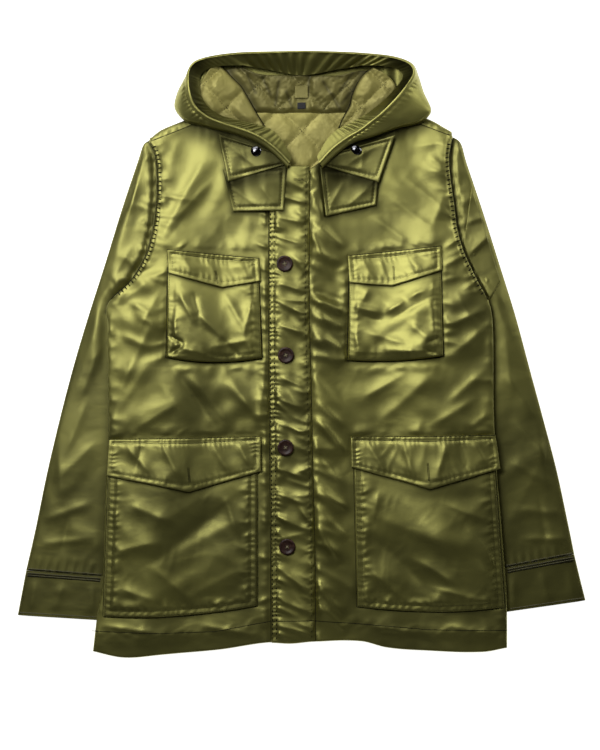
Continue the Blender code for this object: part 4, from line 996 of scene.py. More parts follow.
def lower_detail(pocket, x, y):
    across, up = pocket_share(pocket, x, y)
    border = np.minimum(across, 1 - across) * 205
    free = ease(2, 20, border) * ease(0.0, 0.07, up) * (1 - ease(0.68, 0.78, up))
    fine = 2.1 * crease_height(LOWER_CREASES, x, y) + 2.4 * crumple(x, y, 66, 23, 2.4,
        28) + 0.7 * crumple(x, y, 22, 24, 2.2, -50)
    return free * fine


def sleeve_detail(x, y, creases=SLEEVE_CREASES):
    return 1.7 * crease_height(creases, x, y) + 0.9 * crumple(x, y, 50, 25, 3.0, 66) + 0.3 * crumple(x, y,
        20, 26, 1.5, 10)


print("fine height of the front near the armhole:", round(float(front_detail(-190.0, 220.0)), 2), "mm")

# %% [markdown]
# ## The back panel
# It lies on the table and rises over the sleeves that are folded below its sides. Its
# lower skin rests flat, with shallow hollows where the cloth doesn't touch the table.


# %% Back
def armhole_x(side, y):
    rows = sorted(ARMHOLE, key=lambda row: row.y)
    return np.interp(y, [row.y for row in rows], [getattr(row, side) for row in rows])


def back_plan(u, v):
    level = -421 + 732 * v

    def edge(side):
        low = through(BODY_EDGE, "y", side, level) - 0.6
        return mix(low, armhole_x(side, np.maximum(level, 158)) - ARMHOLE_GAP, ease(160, 184, level))

    x = mix(-edge("right"), edge("left"), u)
    end = ease(100, 311, level) * (1 - np.abs(2 * u - 1) ** 6)
    end = np.where(v > 0.999, 1.0, end)
    hem = 1 - ease(-421, -200, level)
    y = level + end * (through(BACK_TOP, "x", "y", x) - 311) + hem * (through(HEM, "x", "y", x) + 1.5 + 421)
    return x, y


def back_under(x, y):
    to_edge = by_side(BODY_EDGE, x, y) - np.abs(x)
    hollow = 1.4 * np.clip(0.25 - crumple(x, y, 70, 41, 2.2, 75), 0,
        1) + 0.7 * np.clip(-crumple(x, y, 30, 42), 0, 1)
    return body_lift(x, y) + hollow * ease(4, 30, to_edge) * ease(0, 30,
        y - through(HEM, "x", "y", x)) * (1 - ease(280, 330, y))


lay("back_shell", back_plan, back_top, back_under, (560, 760), SHELL, step=(7.5, 6.3))
print("back:", len(PIECES["back_shell"].data.vertices), "points")


# %% [markdown]
# ## The fronts and the placket
# Each front is one panel from the shoulder to the hem, drawn in by its seams at the
# armhole, side and hem. The placket is a folded strip on the right front, stitched
# twice along its free edge, where the needle's pull shows most.


# %% Fronts and placket
def panel_plan(left, right, bottom, top):
    """Places a grid between a left and a right edge (x by height) and a bottom and top line (y by x)."""
    corner = [float(v) for v in (bottom(left(-420.0)), top(left(300.0)), bottom(right(-420.0)),
        top(right(300.0)))]

    def plan(u, v):
        x = mix(left(mix(corner[0], corner[1], v)), right(mix(corner[2], corner[3], v)), u)
        x_low = mix(left(corner[0]), right(corner[2]), u)
        x_high = mix(left(corner[1]), right(corner[3]), u)
        return x, mix(bottom(x_low), top(x_high), v)

    return plan


def hem_y(x):
    return through(HEM, "x", "y", x)


def front_top_y(x):
    return through(FRONT_TOP, "x", "y", x)


def edge_x(side):
    return lambda y: (-1 if side == "right" else 1) * through(BODY_EDGE, "y", side, y)


def front_skin(x, y):
    return front_top(x, y) + front_detail(x, y)


def front_under(x, y):
    return front_top(x, y) - BODY_WALL


PLACKET_ROWS = [line_of(PLACKET_EDGE, "x", 1, -406, 264, -inward, 16) for inward in (1.6, 7.2)]
PLACKET_SEAM_LINE = line_of(PLACKET_SEAM, "x", 1, -406, 264, 1.0)
PLACKET_GATHERS = [*gathers(PLACKET_ROWS[1], (-1,), 14.0, 2.2, 34, 321, -0.45),
    *gathers(PLACKET_SEAM_LINE, (1,), 14.0, 2.8, 38, 322, -0.45)]


def placket_skin(x, y):
    edge = x - through(PLACKET_EDGE, "y", "x", y)
    ruck = pucker(PLACKET_ROWS[1], x, y, 8.2, 0.9, 5.0, 61, 0.4) * ease(0, 2, edge) + ease(4, 10,
        edge) * gather_height(PLACKET_GATHERS, x, y)
    middle = pucker(PLACKET_SEAM_LINE, x, y, 9.0, 0.6, 5.0, 62, 0.4)
    fine = 3.0 * crease_height(PLACKET_CREASES, x, y) + 1.2 * crumple(x, y, 34, 63, 2.4, -20)
    return placket_top(x, y) + ruck + middle + ease(2, 9, edge) * fine


right_plan = panel_plan(edge_x("right"), lambda y: np.full(np.shape(y), -10.0), hem_y, front_top_y)
left_plan = panel_plan(lambda y: through(PLACKET_SEAM, "y", "x", y) + SEAM, edge_x("left"), hem_y,
    front_top_y)
lay("front_right_shell", right_plan, front_skin, front_under, (275, 745), SHELL, step=(3.6, 2.3))
lay("front_left_shell", left_plan, front_skin, front_under, (270, 745), SHELL, step=(3.6, 2.3))
strip_plan = panel_plan(lambda y: through(PLACKET_EDGE, "y", "x", y),
    lambda y: through(PLACKET_SEAM, "y", "x", y) + 1.0, hem_y, lambda x: np.full(np.shape(x), 268.0))
lay("placket_shell", strip_plan, placket_skin, lambda x, y: placket_top(x, y) - BODY_WALL + 0.6, (60, 678),
    PLACKET_SHELL, step=(1.9, 1.6))
print("fronts:", len(PIECES["front_right_shell"].data.vertices), "and",
    len(PIECES["front_left_shell"].data.vertices), "points; placket:",
    len(PIECES["placket_shell"].data.vertices))

# %% [markdown]
# ## The shoulders
# The back turns over the shoulder to a seam a few centimetres down the front, so a
# narrow strip of it shows. It is a bent sheet that gets its wall from Solidify.

# %% Shoulders
for side, sign, first, last in (("right", -1, 216, 118), ("left", 1, 213, 118)):
    v, u = np.meshgrid(np.linspace(0, 1, 13), spread(92, 2.8, 2.4), indexing="ij")
    x = sign * mix(first, last, u if sign < 0 else 1 - u)
    seam, fold = front_top_y(x) - 1.2, through(BACK_TOP, "x", "y", x)
    y = mix(seam, fold, np.sin(v * math.pi / 2))
    high = np.where(v < 1, np.clip(np.cos(v * math.pi / 2), 0, 1) ** 0.7, 0.0)
    ruck = 0.7 * np.sin(2 * math.pi * (x / 9.5 + lumps(x, y, 24, 71))) * np.sin(math.pi * v) ** 0.7
    z = mix(BODY_WALL + STACK + 2.4, front_top(x, seam) + 0.3, high) + ruck
    bend(f"yoke_{side}_shell", x, y, z, SHELL, 2.2)
print("shoulders:", len(PIECES["yoke_right_shell"].data.vertices), "points each")


# %% [markdown]
# ## Sleeves and cuffs
# A sleeve is a tube pressed flat. Its grid goes once round: over the upper side, then
# back below. The tube's cross-section is a superellipse, flat with round folds, and
# the fold at the inner side lies hidden under the body.


# %% Sleeves
RING = [0.0, 0.014, 0.07, 0.22, 0.42, 0.62, 0.82, 0.95, 0.988, 1.0]
SLEEVE_END_Y = [304, 300, 290, 278, 240, 200, 158, 122, 86, 78]


def ring(width, step=3.2):
    """Once round a flattened tube: the share across and the share of the height."""
    near = np.array([0, 0.0008, 0.003, 0.008, 0.018, 0.032])
    inner = np.linspace(0.032, 0.968, round(width * 0.936 / step) + 1)[1:-1]
    across = np.concatenate([near, inner, 1 - near[::-1]])
    bulge = np.sqrt(np.clip(1 - np.abs(2 * across - 1) ** 9, 0, 1))
    return np.concatenate([across, across[-2::-1]]), np.concatenate([0.5 + 0.5 * bulge,
        (0.5 - 0.5 * bulge)[-2::-1]])


def sleeve_spot(side, rows, with_end, across, down):
    """A place on a sleeve: smooth along it from the armhole to the cuff, straight across it."""
    rows = [SleeveRow(225, 303 if side == "left" else 300, 212, 66), *rows] if with_end else rows
    table = [(mix(row.outer_x, row.inner_x, across), mix(row.outer_y, row.inner_y, across)) for row in rows]
    if with_end:
        end_y = np.interp(across, RING, SLEEVE_END_Y) + (8 if side == "left" else 2) * ease(0.3, 0.0, across)
        table.insert(0, (armhole_x(side, end_y), end_y))
    table = np.array([np.broadcast_arrays(px, py, across)[:2] for px, py in table])
    place = np.clip(down, 0, 1) * (len(table) - 1)
    i = np.clip(np.floor(place).astype(int), 0, len(table) - 2)
    t = place - i

    def column(k):
        k = np.clip(k, 0, len(table) - 1)
        return [np.take_along_axis(table[:, axis], k[None], axis=0)[0] for axis in (0, 1)]

    spot = []
    for before, a, b, after in zip(column(i - 1), column(i), column(i + 1), column(i + 2)):
        spot.append(0.5 * (2 * a + (b - before) * t + (2 * before - 5 * a + 4 * b - after) * t**2
            + (3 * a - before - 3 * b + after) * t**3))
    return spot[0], spot[1]


ARMHOLES = {"right": line_of(BODY_EDGE, "right", 1, 60, 304, -1.0),
    "left": line_of(BODY_EDGE, "left", 1, 60, 310, -1.0)}


def tube(name, side, rows, with_end, size, creases, finish):
    sign = -1 if side == "right" else 1
    across, height = ring(size[0])
    v, across = np.meshgrid(np.linspace(0, 1, round(size[1] / 3.3) + 1), across, indexing="ij")
    height = np.broadcast_to(height, v.shape)
    x, y = sleeve_spot(side, rows, with_end, across, v)
    held = ease(0, 14, x - through(BODY_EDGE, "y", side, y)) * ease(0.0, 0.12, across)
    if with_end:
        held = held * ease(0.0, 0.06, v)
    fold = fold_height(SLEEVE_FOLDS, sign * x, y) * ease(0.5, 1.0, height)
    fine = sleeve_detail(sign * x, y, creases) * ease(0.6, 1.0, height)
    ruck = np.zeros(x.shape)
    if with_end:
        ruck = gather_height(gathers(ARMHOLES[side], (-1,), 9.5, 2.0, 20, 341), x, y) * ease(0.6, 1.0,
            height) * ease(-1, 3, x - through(BODY_EDGE, "y", side, y)) * ease(60, 110, y)
        ruck = ruck + 0.5 * np.sin(2 * math.pi * (across * size[0] / 13.0)) * ease(0.94, 0.985,
            v) * ease(0.6, 1.0, height) * ease(0, 14, x - through(BODY_EDGE, "y", side, y))
    under = 0.9 * np.clip(-crumple(sign * x, y, 40, 83, 2.0, 60), 0,
        1) * (1 - ease(0.0, 0.4, height)) * ease(0.02, 0.1, np.minimum(across, 1 - across))
    beside = x - through(BODY_EDGE, "y", side, y)
    dip = -2.4 * np.exp(-(((beside - 4.5) / 4.5) ** 2)) * ease(0.6, 1.0, height) * ease(88, 120,
        y) if with_end else 0.0
    z = SLEEVE_HEIGHT * height + (fold + fine) * held + ruck + under + dip
    if sign < 0:
        x, y, z = x[:, ::-1], y[:, ::-1], z[:, ::-1]
    bend(name, sign * x, y, z, finish, SLEEVE_WALL, closed=True)


tube("sleeve_right_shell", "right", RIGHT_SLEEVE, True, (150, 690), SLEEVE_CREASES, SHADED_SLEEVE_SHELL)
tube("sleeve_left_shell", "left", LEFT_SLEEVE, True, (150, 680), SLEEVE_CREASES, SHADED_SLEEVE_SHELL)
tube("cuff_right_shell", "right", RIGHT_CUFF, False, (148, 63), CUFF_CREASES, SHADED_SLEEVE_SHELL)
tube("cuff_left_shell", "left", LEFT_CUFF, False, (146, 64), CUFF_CREASES, SHADED_SLEEVE_SHELL)
print("sleeves:", len(PIECES["sleeve_right_shell"].data.vertices), "points each; cuffs:",
    len(PIECES["cuff_right_shell"].data.vertices))


# %% [markdown]
# ### The patch on the left arm
# A small pocket is sewn to the left upper arm. Its outline runs from the front
# panel's edge to near the sleeve's outer fold, on the sleeve's own surface.


# %% Arm pocket
def arm_plan(u, v):
    down = mix(0.424, 0.2395, v[:, 0])
    x, y = np.zeros(u.shape), np.zeros(u.shape)
    shares = np.linspace(0.06, 0.86, 400)
    for i, at in enumerate(down):
        sx, sy = sleeve_spot("left", LEFT_SLEEVE, True, shares, np.full(shares.shape, at))
        near = shares[np.argmax(sx < through(BODY_EDGE, "y", "left", sy) + 2.5)]
        x[i], y[i] = sleeve_spot("left", LEFT_SLEEVE, True, mix(near - 0.01, 0.055, u[i]),
            np.full(u.shape[1], at))
    return x, y


def arm_low(x, y):
    return SLEEVE_HEIGHT + STACK + np.maximum(0.0, fold_height(SLEEVE_FOLDS, x, y)) + np.maximum(0.0,
        sleeve_detail(x, y))


def arm_high(x, y):
    return arm_low(x, y) + 1.6 + 0.4 * crumple(x, y, 15, 91)


lay("arm_pocket_shell", arm_plan, arm_high, arm_low, (60, 120), SHADED_SLEEVE_SHELL, step=(2.4, 2.4))
print("arm pocket:", [round(v * 1000) for v in PIECES["arm_pocket_shell"].dimensions], "mm")


# %% [markdown]
# ## Pockets
# The chest pockets are bellows pockets: their folded sides and bottom make them thick
# at the bottom, and the fold sticks out at the lower corners. The lower pockets are
# large patches sewn flat. The chest pockets are stitched once and the lower ones twice.


# %% Pockets
def pocket_plan(pocket):
    def plan(u, v):
        x = mix(mix(pocket.left_bottom, pocket.right_bottom, u), mix(pocket.left_top, pocket.right_top, u), v)
        ends = mix(pocket.bottom_left, pocket.bottom_right, u)
        bottom = ends + (pocket.bottom_mid - (pocket.bottom_left + pocket.bottom_right) / 2) * 4 * u * (1 - u)
        return x, mix(bottom, pocket.top, v)

    return plan


def outline_of(plan, inset, size, sides):
    """A line round a panel at a distance inside its edges: b, r, t and l name the sides."""
    a, b = inset / size[0], inset / size[1]
    corners = {"l": ((a, 1 - b), (a, b)), "b": ((a, b), (1 - a, b)), "r": ((1 - a, b), (1 - a, 1 - b)),
        "t": ((1 - a, 1 - b), (a, 1 - b))}
    points = []
    for side in sides:
        (u0, v0), (u1, v1) = corners[side]
        share = np.linspace(0, 1, 15)
        x, y = plan(mix(u0, u1, share), mix(v0, v1, share))
        points += list(zip(x.tolist(), y.tolist()))
    return points


STITCHING = []  # (name, points, height function, finish, pitch)
for pockets, label, pad, detail, size, depth in ((CHEST_POCKETS, "chest", chest_pad, chest_detail,
        (132, 134), 0.7), (LOWER_POCKETS, "lower", lower_pad, lower_detail, (208, 238), 1.0)):
    for side, pocket in pockets.items():
        plan = pocket_plan(pocket)
        outer, inner = outline_of(plan, 2.4, size, "lbr"), outline_of(plan, 8.5, size, "lbr")
        ridges = gathers(inner, (1,), 13.0, 1.4 * depth, 20, 331 + len(STITCHING))

        def under(x, y):
            return front_top(x, y) + PATCH_STACK

        def high(x, y, pocket=pocket, pad=pad, detail=detail, inner=inner, ridges=ridges, depth=depth,
                size=size):
            across, up = pocket_share(pocket, x, y)
            away = np.minimum(np.minimum(across, 1 - across) * size[0], up * size[1])
            ruck = (pucker(inner, x, y, 9.5, 0.7 * depth, 5.0, 101, 0.45)
                + ease(8, 12, away) * gather_height(ridges, x, y)) * ease(0, 3, away)
            return front_top(x, y) + PATCH_STACK + pad(pocket, x, y) * mouth(up) + detail(pocket, x,
                y) + ruck * (1 - ease(0.78, 0.9, up))

        lay(f"{label}_pocket_{side}_shell", plan, high, under, size, POCKET_SHELL, step=(2.2, 2.2))
        STITCHING.append((f"{label}_pocket_{side}_stitches",
            [outer, inner] if label == "lower" else [outer], high, YARN, 3.4))
print("pockets:", len(PIECES["lower_pocket_right_shell"].data.vertices), "points for a large one")


# %% [markdown]
# ## Flaps
# A flap is sewn along its top and runs down to a point in the middle, where it has a
# buttonhole. It lies on its pocket and springs away from it towards its lower edge.


# %% Flaps
def flap_plan(flap):
    tip = (flap.point_x - flap.left_bottom) / (flap.right_bottom - flap.left_bottom)

    def plan(u, v):
        u = np.asarray(u, float)
        bottom = np.where(u < tip, mix(flap.end_left, flap.point_y, u / tip),
            mix(flap.point_y, flap.end_right, (u - tip) / (1 - tip)))
        x = mix(mix(flap.left_bottom, flap.right_bottom, u), mix(flap.left_top, flap.right_top, u), v)
        return x, mix(bottom, mix(flap.top_left, flap.top_right, u), v)

    return plan


for flaps, label, spring, size in ((CHEST_FLAPS, "chest", 1.6, (132, 44)),
        (LOWER_FLAPS, "lower", 1.0, (216, 62))):
    for side, flap in flaps.items():
        plan = flap_plan(flap)

        def under(x, y, flap=flap, spring=spring, side=side):
            down = mix(flap.top_left, flap.top_right,
                (x - flap.left_top) / (flap.right_top - flap.left_top)) - y
            return mix(front_top(x, y) + PATCH_STACK, pocket_top(side, x, y) + PATCH_STACK,
                ease(-2, 9, down)) + spring * ease(10, 45, down)

        outer, inner, fold = outline_of(plan, 2.0, size, "lbr"), outline_of(plan, 7.0, size,
            "lbr"), outline_of(plan, 6.6, size, "t")

        def high(x, y, under=under, outer=outer, inner=inner, fold=fold, loose=size[1] / 36):
            ruck = pucker(inner, x, y, 8.0, 0.8, 4.5, 111, 0.6) + pucker(fold, x, y, 9.0, 0.6, 6.0, 112, 1.3)
            inside = ease(0, 3.5, near_line(outer, x, y)[0])
            return under(x, y) + FLAP_WALL + inside * (np.maximum(-1.3, ruck)
                + np.maximum(-1.4, loose * (1.8 * crease_height(FLAP_CREASES, x, y)
                + 0.9 * crumple(x, y, 26, 113, 1.6, -40))))

        lay(f"{label}_flap_{side}_shell", plan, high, under, size, POCKET_SHELL, step=(2.0, 2.0))
        STITCHING.append((f"{label}_flap_{side}_stitches", [inner, fold], high, YARN, 3.2))
print("flaps:", len(PIECES["lower_flap_right_shell"].data.vertices), "points for a large one")


# %% [markdown]
# ## The open collar
# The collar's ends are folded outwards in two layers at each side, edge-stitched all
# round. Each lies on the layer below and lifts at its free corner.


# %% Throat flaps
def throat_rest(x, y):
    over = mix(front_top(x, y), placket_top(np.maximum(x, -44.0), y), ease(-84, -50, x))
    return np.where(x > 0, front_top(x, y), over)


def throat_low(flap, x, y):
    away = np.hypot(x - flap.neck_top[0], y - flap.neck_top[1])
    slope = 0.035 * np.clip(y - flap.outer_bottom[1], 0, 40)
    return throat_rest(x, y) + PATCH_STACK + 0.1 + flap.lift + flap.curl * ease(25, 100, away) + slope


def four_corners(flap):
    def plan(u, v):
        low_x, low_y = mix(flap.neck_bottom[0], flap.outer_bottom[0], u), mix(flap.neck_bottom[1],
            flap.outer_bottom[1], u)
        top_x, top_y = mix(flap.neck_top[0], flap.outer_top[0], u), mix(flap.neck_top[1], flap.outer_top[1],
            u)
        return mix(low_x, top_x, v), mix(low_y, top_y, v)

    return plan


for name, flap in THROAT_FLAPS.items():
    plan, size = four_corners(flap), (96, 62)
    inner, outer = outline_of(plan, 6.5, size, "lbrt"), outline_of(plan, 1.5, size, "lbrt")

    def under(x, y, flap=flap):
        return throat_low(flap, x, y)

    def high(x, y, under=under, inner=inner, outer=outer):
        ruck = pucker(inner, x, y, 6.0, 0.4, 3.0, 121, 0.8) * ease(0, 3, near_line(outer, x, y)[0])
        fine = 1.3 * crease_height(THROAT_CREASES, x, y) + 0.5 * crumple(x, y, 30, 122)
        return under(x, y) + FLAP_WALL + np.maximum(-0.8, ruck) + fine * ease(2, 9, near_line(outer, x, y)[0])

    lay(f"{name}_shell", plan, high, under, size, SHADED_COLLAR_SHELL, step=(1.8, 1.8))
    STITCHING.append((f"{name}_stitches", [inner], high, SHADE_YARN, 4.4))
print("collar flaps:", len(PIECES["throat_flap_upper_left_shell"].data.vertices), "points each")


# %% [markdown]
# ## The hood
# The hood lies open on its back. Its outer side comes up from below and turns in at
# the rim, and inside the rim a satin band is gathered into close radial folds. Both are lofted along the same table of stations.


# %% Hood side and gathered band
def hood_row(u):
    return along(HOOD, u)


ACROSS = [0, 0.02, 0.05, 0.09, 0.14, 0.2, 0.27, 0.35, 0.44, 0.54, 0.64, 0.74, 0.83, 0.9, 0.95, 0.98, 1.0]
DOWN = [0.12, 0.3, 0.5, 0.75, 1.0]
share, u = np.meshgrid(np.array(ACROSS + [1.0] * len(DOWN)), np.linspace(0, 1, 420), indexing="ij")
fall = np.meshgrid(np.array([0.0] * len(ACROSS) + DOWN), u[0], indexing="ij")[0]
rim_x, rim_y, out_x, out_y, rim_z, base_z = hood_row(u)
low, width = base_z + 0.5, np.hypot(out_x - rim_x, out_y - rim_y)
x = mix(rim_x, out_x, share) - out_x * 0.012 * np.sin(fall * math.pi / 2)
y = mix(rim_y, out_y, share) - out_y * 0.006 * fall
middle, inward = mix(low, rim_z, 0.45), share * width
z = mix(rim_z, middle, 0.55 * share + 0.45 * (1 - np.sqrt(1 - share**2)))
z = np.where(fall > 0, mix(middle, low, fall), z) + 0.8 * np.exp(-(((inward - 1.3)
    / 1.0) ** 2)) - 0.7 * np.exp(-(((inward - 5.5) / 0.9) ** 2)) * ease(7, 12, width)
round_it = u * 900
ripple = 0.6 * np.sin(2 * math.pi * (round_it / 11 + 0.8
    * lumps(round_it, share * 0, 26, 131))) * np.exp(-(((inward - 8.0) / 3.5) ** 2)) * ease(7, 12, width)
ruck = (ripple + 1.8 * crumple(x, y, 26, 132, 2.2, 70) * ease(9, 22, width)) * np.sin(math.pi * share) ** 0.7
z = z + np.where(fall > 0, 0, ruck)
bend("hood_side_shell", x, y, z, BRIM_SHELL, -1.8)
crescent = [(float(a), float(b), float(c)) for a, b, c in zip(x[9, 292:335], y[9, 292:335], z[9, 292:335])]
# The crescent and tunnel seams are near-black lines: painted shadow in the seams.
thin_line("hood_crescent_seam", [crescent], None, SHADE_YARN, 0.45, 0.1)
rim = list(zip(rim_x[0].tolist(), rim_y[0].tolist(), (rim_z[0] + 0.5).tolist()))
# The rim fold is drawn in the lighter satin: a painted highlight.
thin_line("hood_rim_fold", [rim], None, HIGHLIGHT_EDGE_SHELL, 0.9)

v, u = np.meshgrid(np.linspace(0, 1, 15), np.linspace(0, 1, 620), indexing="ij")
rim_x, rim_y, out_x, out_y, rim_z, base_z = hood_row(u)
width = along([(w,) for w in FACING_WIDTH], u)[0]
length = np.hypot(rim_x, 350 - rim_y)
reach = 0.4 + (width + 2.2) * v
over_ear = ease(86, 108, np.abs(rim_x))
foot = np.where(rim_y > 330, mix(18.4, 27.3, over_ear), np.maximum(27.3, base_z + 2.6))
round_it = u * 900
gather = np.sin(2 * math.pi * (round_it / 12.5 + 1.3 * lumps(round_it, v * 0, 30, 133) + 0.3 * v))
strength = (0.5 + 0.5 * lumps(round_it, v * 0 + 9, 40, 134)) * np.sin(math.pi * np.clip(v, 0.0, 1)) ** 0.6
wide = ease(13, 24, width)
z = mix(rim_z + 0.2, np.minimum(foot, rim_z - 0.8),
    mix(v, ease(0, 1, v), 0.2)) + (0.4 + 1.9 * wide) * gather * strength * ease(0, 14, width)
x, y = rim_x - rim_x / length * reach, rim_y + (350 - rim_y) / length * reach
# The band is made in the darker satin: painted shade.
bend("hood_facing_shell", x, y, z, SHADED_BAND_SHELL, 1.2)
thin_line("hood_tunnel_seam", [list(zip(x[11, 230:430].tolist(), y[11, 230:430].tolist(),
    z[11, 230:430].tolist()))], None, SHADE_YARN, 0.4, 0.1)
print("hood:", len(PIECES["hood_side_shell"].data.vertices), "points outside,",
    len(PIECES["hood_facing_shell"].data.vertices), "in the band")


# %% [markdown]
# ## Quilted lining
# The lining is quilted in diamonds to a thin wadding. A quilted line is where both
# layers are drawn together, so the cloth is lowest and most puckered there.


# %% Linings
EAR_SHIFT = 12.0


def quilt(x, y, pitch=45.0, puff=2.4, power=0.5):
    a = np.sin(math.pi * (x + y) / (pitch * math.sqrt(2)))
    b = np.sin(math.pi * (x - y) / (pitch * math.sqrt(2)))
    return puff * np.minimum(1.0, 1.6 * np.abs(a * b) ** power)


def quilt_pucker(x, y, pitch=45.0):
    """Short ripples across the quilted lines."""
    total = np.zeros(np.broadcast(x, y).shape)
    for sign in (1, -1):
        across, on = (x + sign * y) / math.sqrt(2), (x - sign * y) / math.sqrt(2)
        away = np.abs((across / pitch + 0.5) % 1 - 0.5) * pitch
        total = total + 0.8 * np.sin(2 * math.pi * (on / 8.0 + lumps(on, across, 15, 141))) * np.exp(-away
            / 6.0) * (1 - np.exp(-((away / 1.5) ** 2)))
    return total


def hood_low(x, y):
    return 7.5 + 2.0 * ease(343.5, 348, y) + 4.6 * ease(352, 400, y)


def neck_plan(u, v):
    half = mix(30, 92, v)
    return mix(-half, half, u) + 3, mix(250, 345.5, v)


def hood_lining_plan(u, v):
    x = mix(mix(-100, -118, v), mix(100, 106, v), u)
    return x, mix(344.0, through(HOOD_LINING_TOP, "x", "y", x), v)


def neck_skin(x, y):
    return BODY_WALL + STACK + 1.2 + 1.1 * quilt(x, y, power=0.8) + 0.6 * quilt_pucker(x, y)


LINING_CREASES = [Crease(*row) for row in (
    (-56, 393, -45, 369, 9, -1.8), (-33, 387, -38, 354, 9, -1.8), (-22, 373, -14, 351, 8, -1.4),
    (11, 400, 8, 369, 9, -1.5),
    (30, 387, 40, 371, 9, -1.8), (43, 369, 54, 349, 8, -1.5), (57, 357, 75, 379, 9, -1.6),
    (72, 399, 54, 375, 9, -1.8), (-78, 398, -66, 372, 9, -1.6))]


def hood_lining_skin(x, y):
    beside = np.minimum(near_line([row[2:] for row in RIGHT_EAR], x, y)[0],
        near_line([row[2:] for row in LEFT_EAR], x, y)[0])
    rise = (1 - np.exp(-((beside / 9.0) ** 2))) * (1
        - 0.65 * ease(-16, -8, -np.abs(x)) * ease(-390, -380, -y))
    body = 1.9 * quilt(x, y, power=0.7) + 1.6 * quilt_pucker(x, y) + 1.4 * crease_height(LINING_CREASES, x, y)
    return hood_low(x, y) + 0.8 + ease(344, 352, y) * (0.2 + rise * np.maximum(-0.4, body + 0.6))


def ear_low(x, y):
    return mix(14.2 + 3.2 * ease(350, 400, y), 20.2, ease(100, 134, np.abs(x)))


def ear_skin(x, y):
    outline = [(row.outer_x, row.outer_y) for row in (RIGHT_EAR if np.mean(x) < 0
        else LEFT_EAR)], [(row.inner_x, row.inner_y) for row in (RIGHT_EAR if np.mean(x) < 0 else LEFT_EAR)]
    border = np.minimum(near_line(outline[0], x, y)[0], near_line(outline[1], x, y)[0])
    return ear_low(x, y) + 3.4 + 2.4 * ease(0, 20, border) + 1.7 * quilt(x + EAR_SHIFT, y,
        power=0.8) + 0.9 * quilt_pucker(x + EAR_SHIFT, y)


def ear_plan(rows):
    def plan(u, v):
        row = along(rows, v)
        return mix(row[0], row[2], u), mix(row[1], row[3], u)

    return plan


def within(outline, x, y):
    """True inside a closed outline, by counting the sides that a ray crosses."""
    inside = np.zeros(np.shape(x), bool)
    for (ax, ay), (bx, by) in zip(outline, outline[1:] + outline[:1]):
        if ay != by:
            inside ^= ((ay > y) != (by > y)) & (x < (bx - ax) * (y - ay) / (by - ay) + ax)
    return inside


def quilt_rows(plan, size, shift=0.0, pitch=45.0):
    """The stitched diagonals of the diamonds that cross a panel."""
    outline, rows = outline_of(plan, 4.0, size, "lbrt"), []
    y = np.arange(240.0, 420.0, 2.0)
    for sign in (1, -1):
        for k in range(-6, 16):
            x = k * pitch * math.sqrt(2) * sign - sign * y - shift
            inside = within(outline, x, y)
            runs = np.split(np.arange(len(y)), np.flatnonzero(np.diff(inside.astype(int))) + 1)
            rows += [list(zip(x[run].tolist(), y[run].tolist())) for run in runs if inside[run[0]]
                and len(run) > 3]
    return rows


lay("neck_lining_shell", neck_plan, neck_skin, lambda x, y: np.full(x.shape, BODY_WALL + STACK), (150, 96),
    LINING, step=(2.2, 2.2))
STITCHING.append(("neck_lining_stitches", quilt_rows(neck_plan, (150, 96)), neck_skin, SHADE_YARN, 3.4))
lay("hood_lining_shell", hood_lining_plan, hood_lining_skin, hood_low, (215, 60), SHADED_HOOD_LINING,
    step=(1.8, 1.8))
STITCHING.append(("hood_lining_stitches", quilt_rows(hood_lining_plan, (215, 60)), hood_lining_skin,
    SHADE_YARN, 4.0))
for name, rows in (("hood_lining_ear_right", RIGHT_EAR), ("hood_lining_ear_left", LEFT_EAR)):
    lay(f"{name}_shell", ear_plan(rows), ear_skin, ear_low, (46, 118), EAR_LINING, step=(1.8, 1.8), edge=6.0)
    STITCHING.append((f"{name}_stitches", quilt_rows(ear_plan(rows), (46, 118), EAR_SHIFT), ear_skin,
        SHADE_YARN, 3.4))
    # A near-black line along each ear's inner edge: painted shadow where the ear meets the lining.
    edge = [(row.inner_x - math.copysign(0.8, row.inner_x), row.inner_y) for row in rows]
    thin_line(f"{name}_seam", [edge], hood_lining_skin, SHADE_YARN, 1.0)
print("linings:", len(PIECES["hood_lining_shell"].data.vertices), "points at the hood's back")


# %% [markdown]
# ## The folded crown
# Behind the open hood its crown lies folded flat on the table. From the front it is
# hidden, and from behind it is satin with the long soft creases of folded cloth.


# %% Crown
def crown_plan(u, v):
    row = hood_row(mix(7, 21, u) / (len(HOOD) - 1))
    away = np.hypot(row[2], 365.0 - row[3])
    x = mix(-150, 150, u)
    return mix(x, row[2] * (1 - 5.6 / away), v), mix(through(BACK_TOP, "x", "y", x) + 0.8,
        row[3] + (365 - row[3]) * 5.6 / away, v)


def crown_high(x, y):
    return mix(9.0, 19.6, ease(118, 136, np.abs(x)) * ease(348, 362, y)) - 2.5 * ease(398, 418,
        y) * (1 - ease(118, 130, np.abs(x)))


def crown_under(x, y):
    return 1.5 * np.clip(0.2 - crumple(x, y, 44, 151, 2.0, 80), 0, 1) * ease(6, 20,
        421 - y) * (1 - ease(130, 158, np.abs(x))) * ease(350, 366, y)


lay("hood_crown_shell", crown_plan, crown_high, crown_under, (320, 72), BRIM_SHELL, step=(3.6, 3.6))
lay("hanger_patch_shell", lambda u, v: (mix(-10, 8.5, u), mix(364, 381, v)), lambda x,
    y: np.full(x.shape, 16.4), lambda x, y: np.full(x.shape, 15.6), (18.5, 17), SHADED_HOOD_LINING,
    step=(1.6, 1.6), edge=1.0)
lay("neck_tab_shell", lambda u, v: (mix(-6.5, 5, u), mix(349, 358, v)), lambda x, y: np.full(x.shape, 14.7),
    lambda x, y: np.full(x.shape, 13.9), (11.5, 9), TAPE, step=(1.2, 1.2), edge=0.8)
print("crown:", [round(d * 1000) for d in PIECES["hood_crown_shell"].dimensions], "mm")


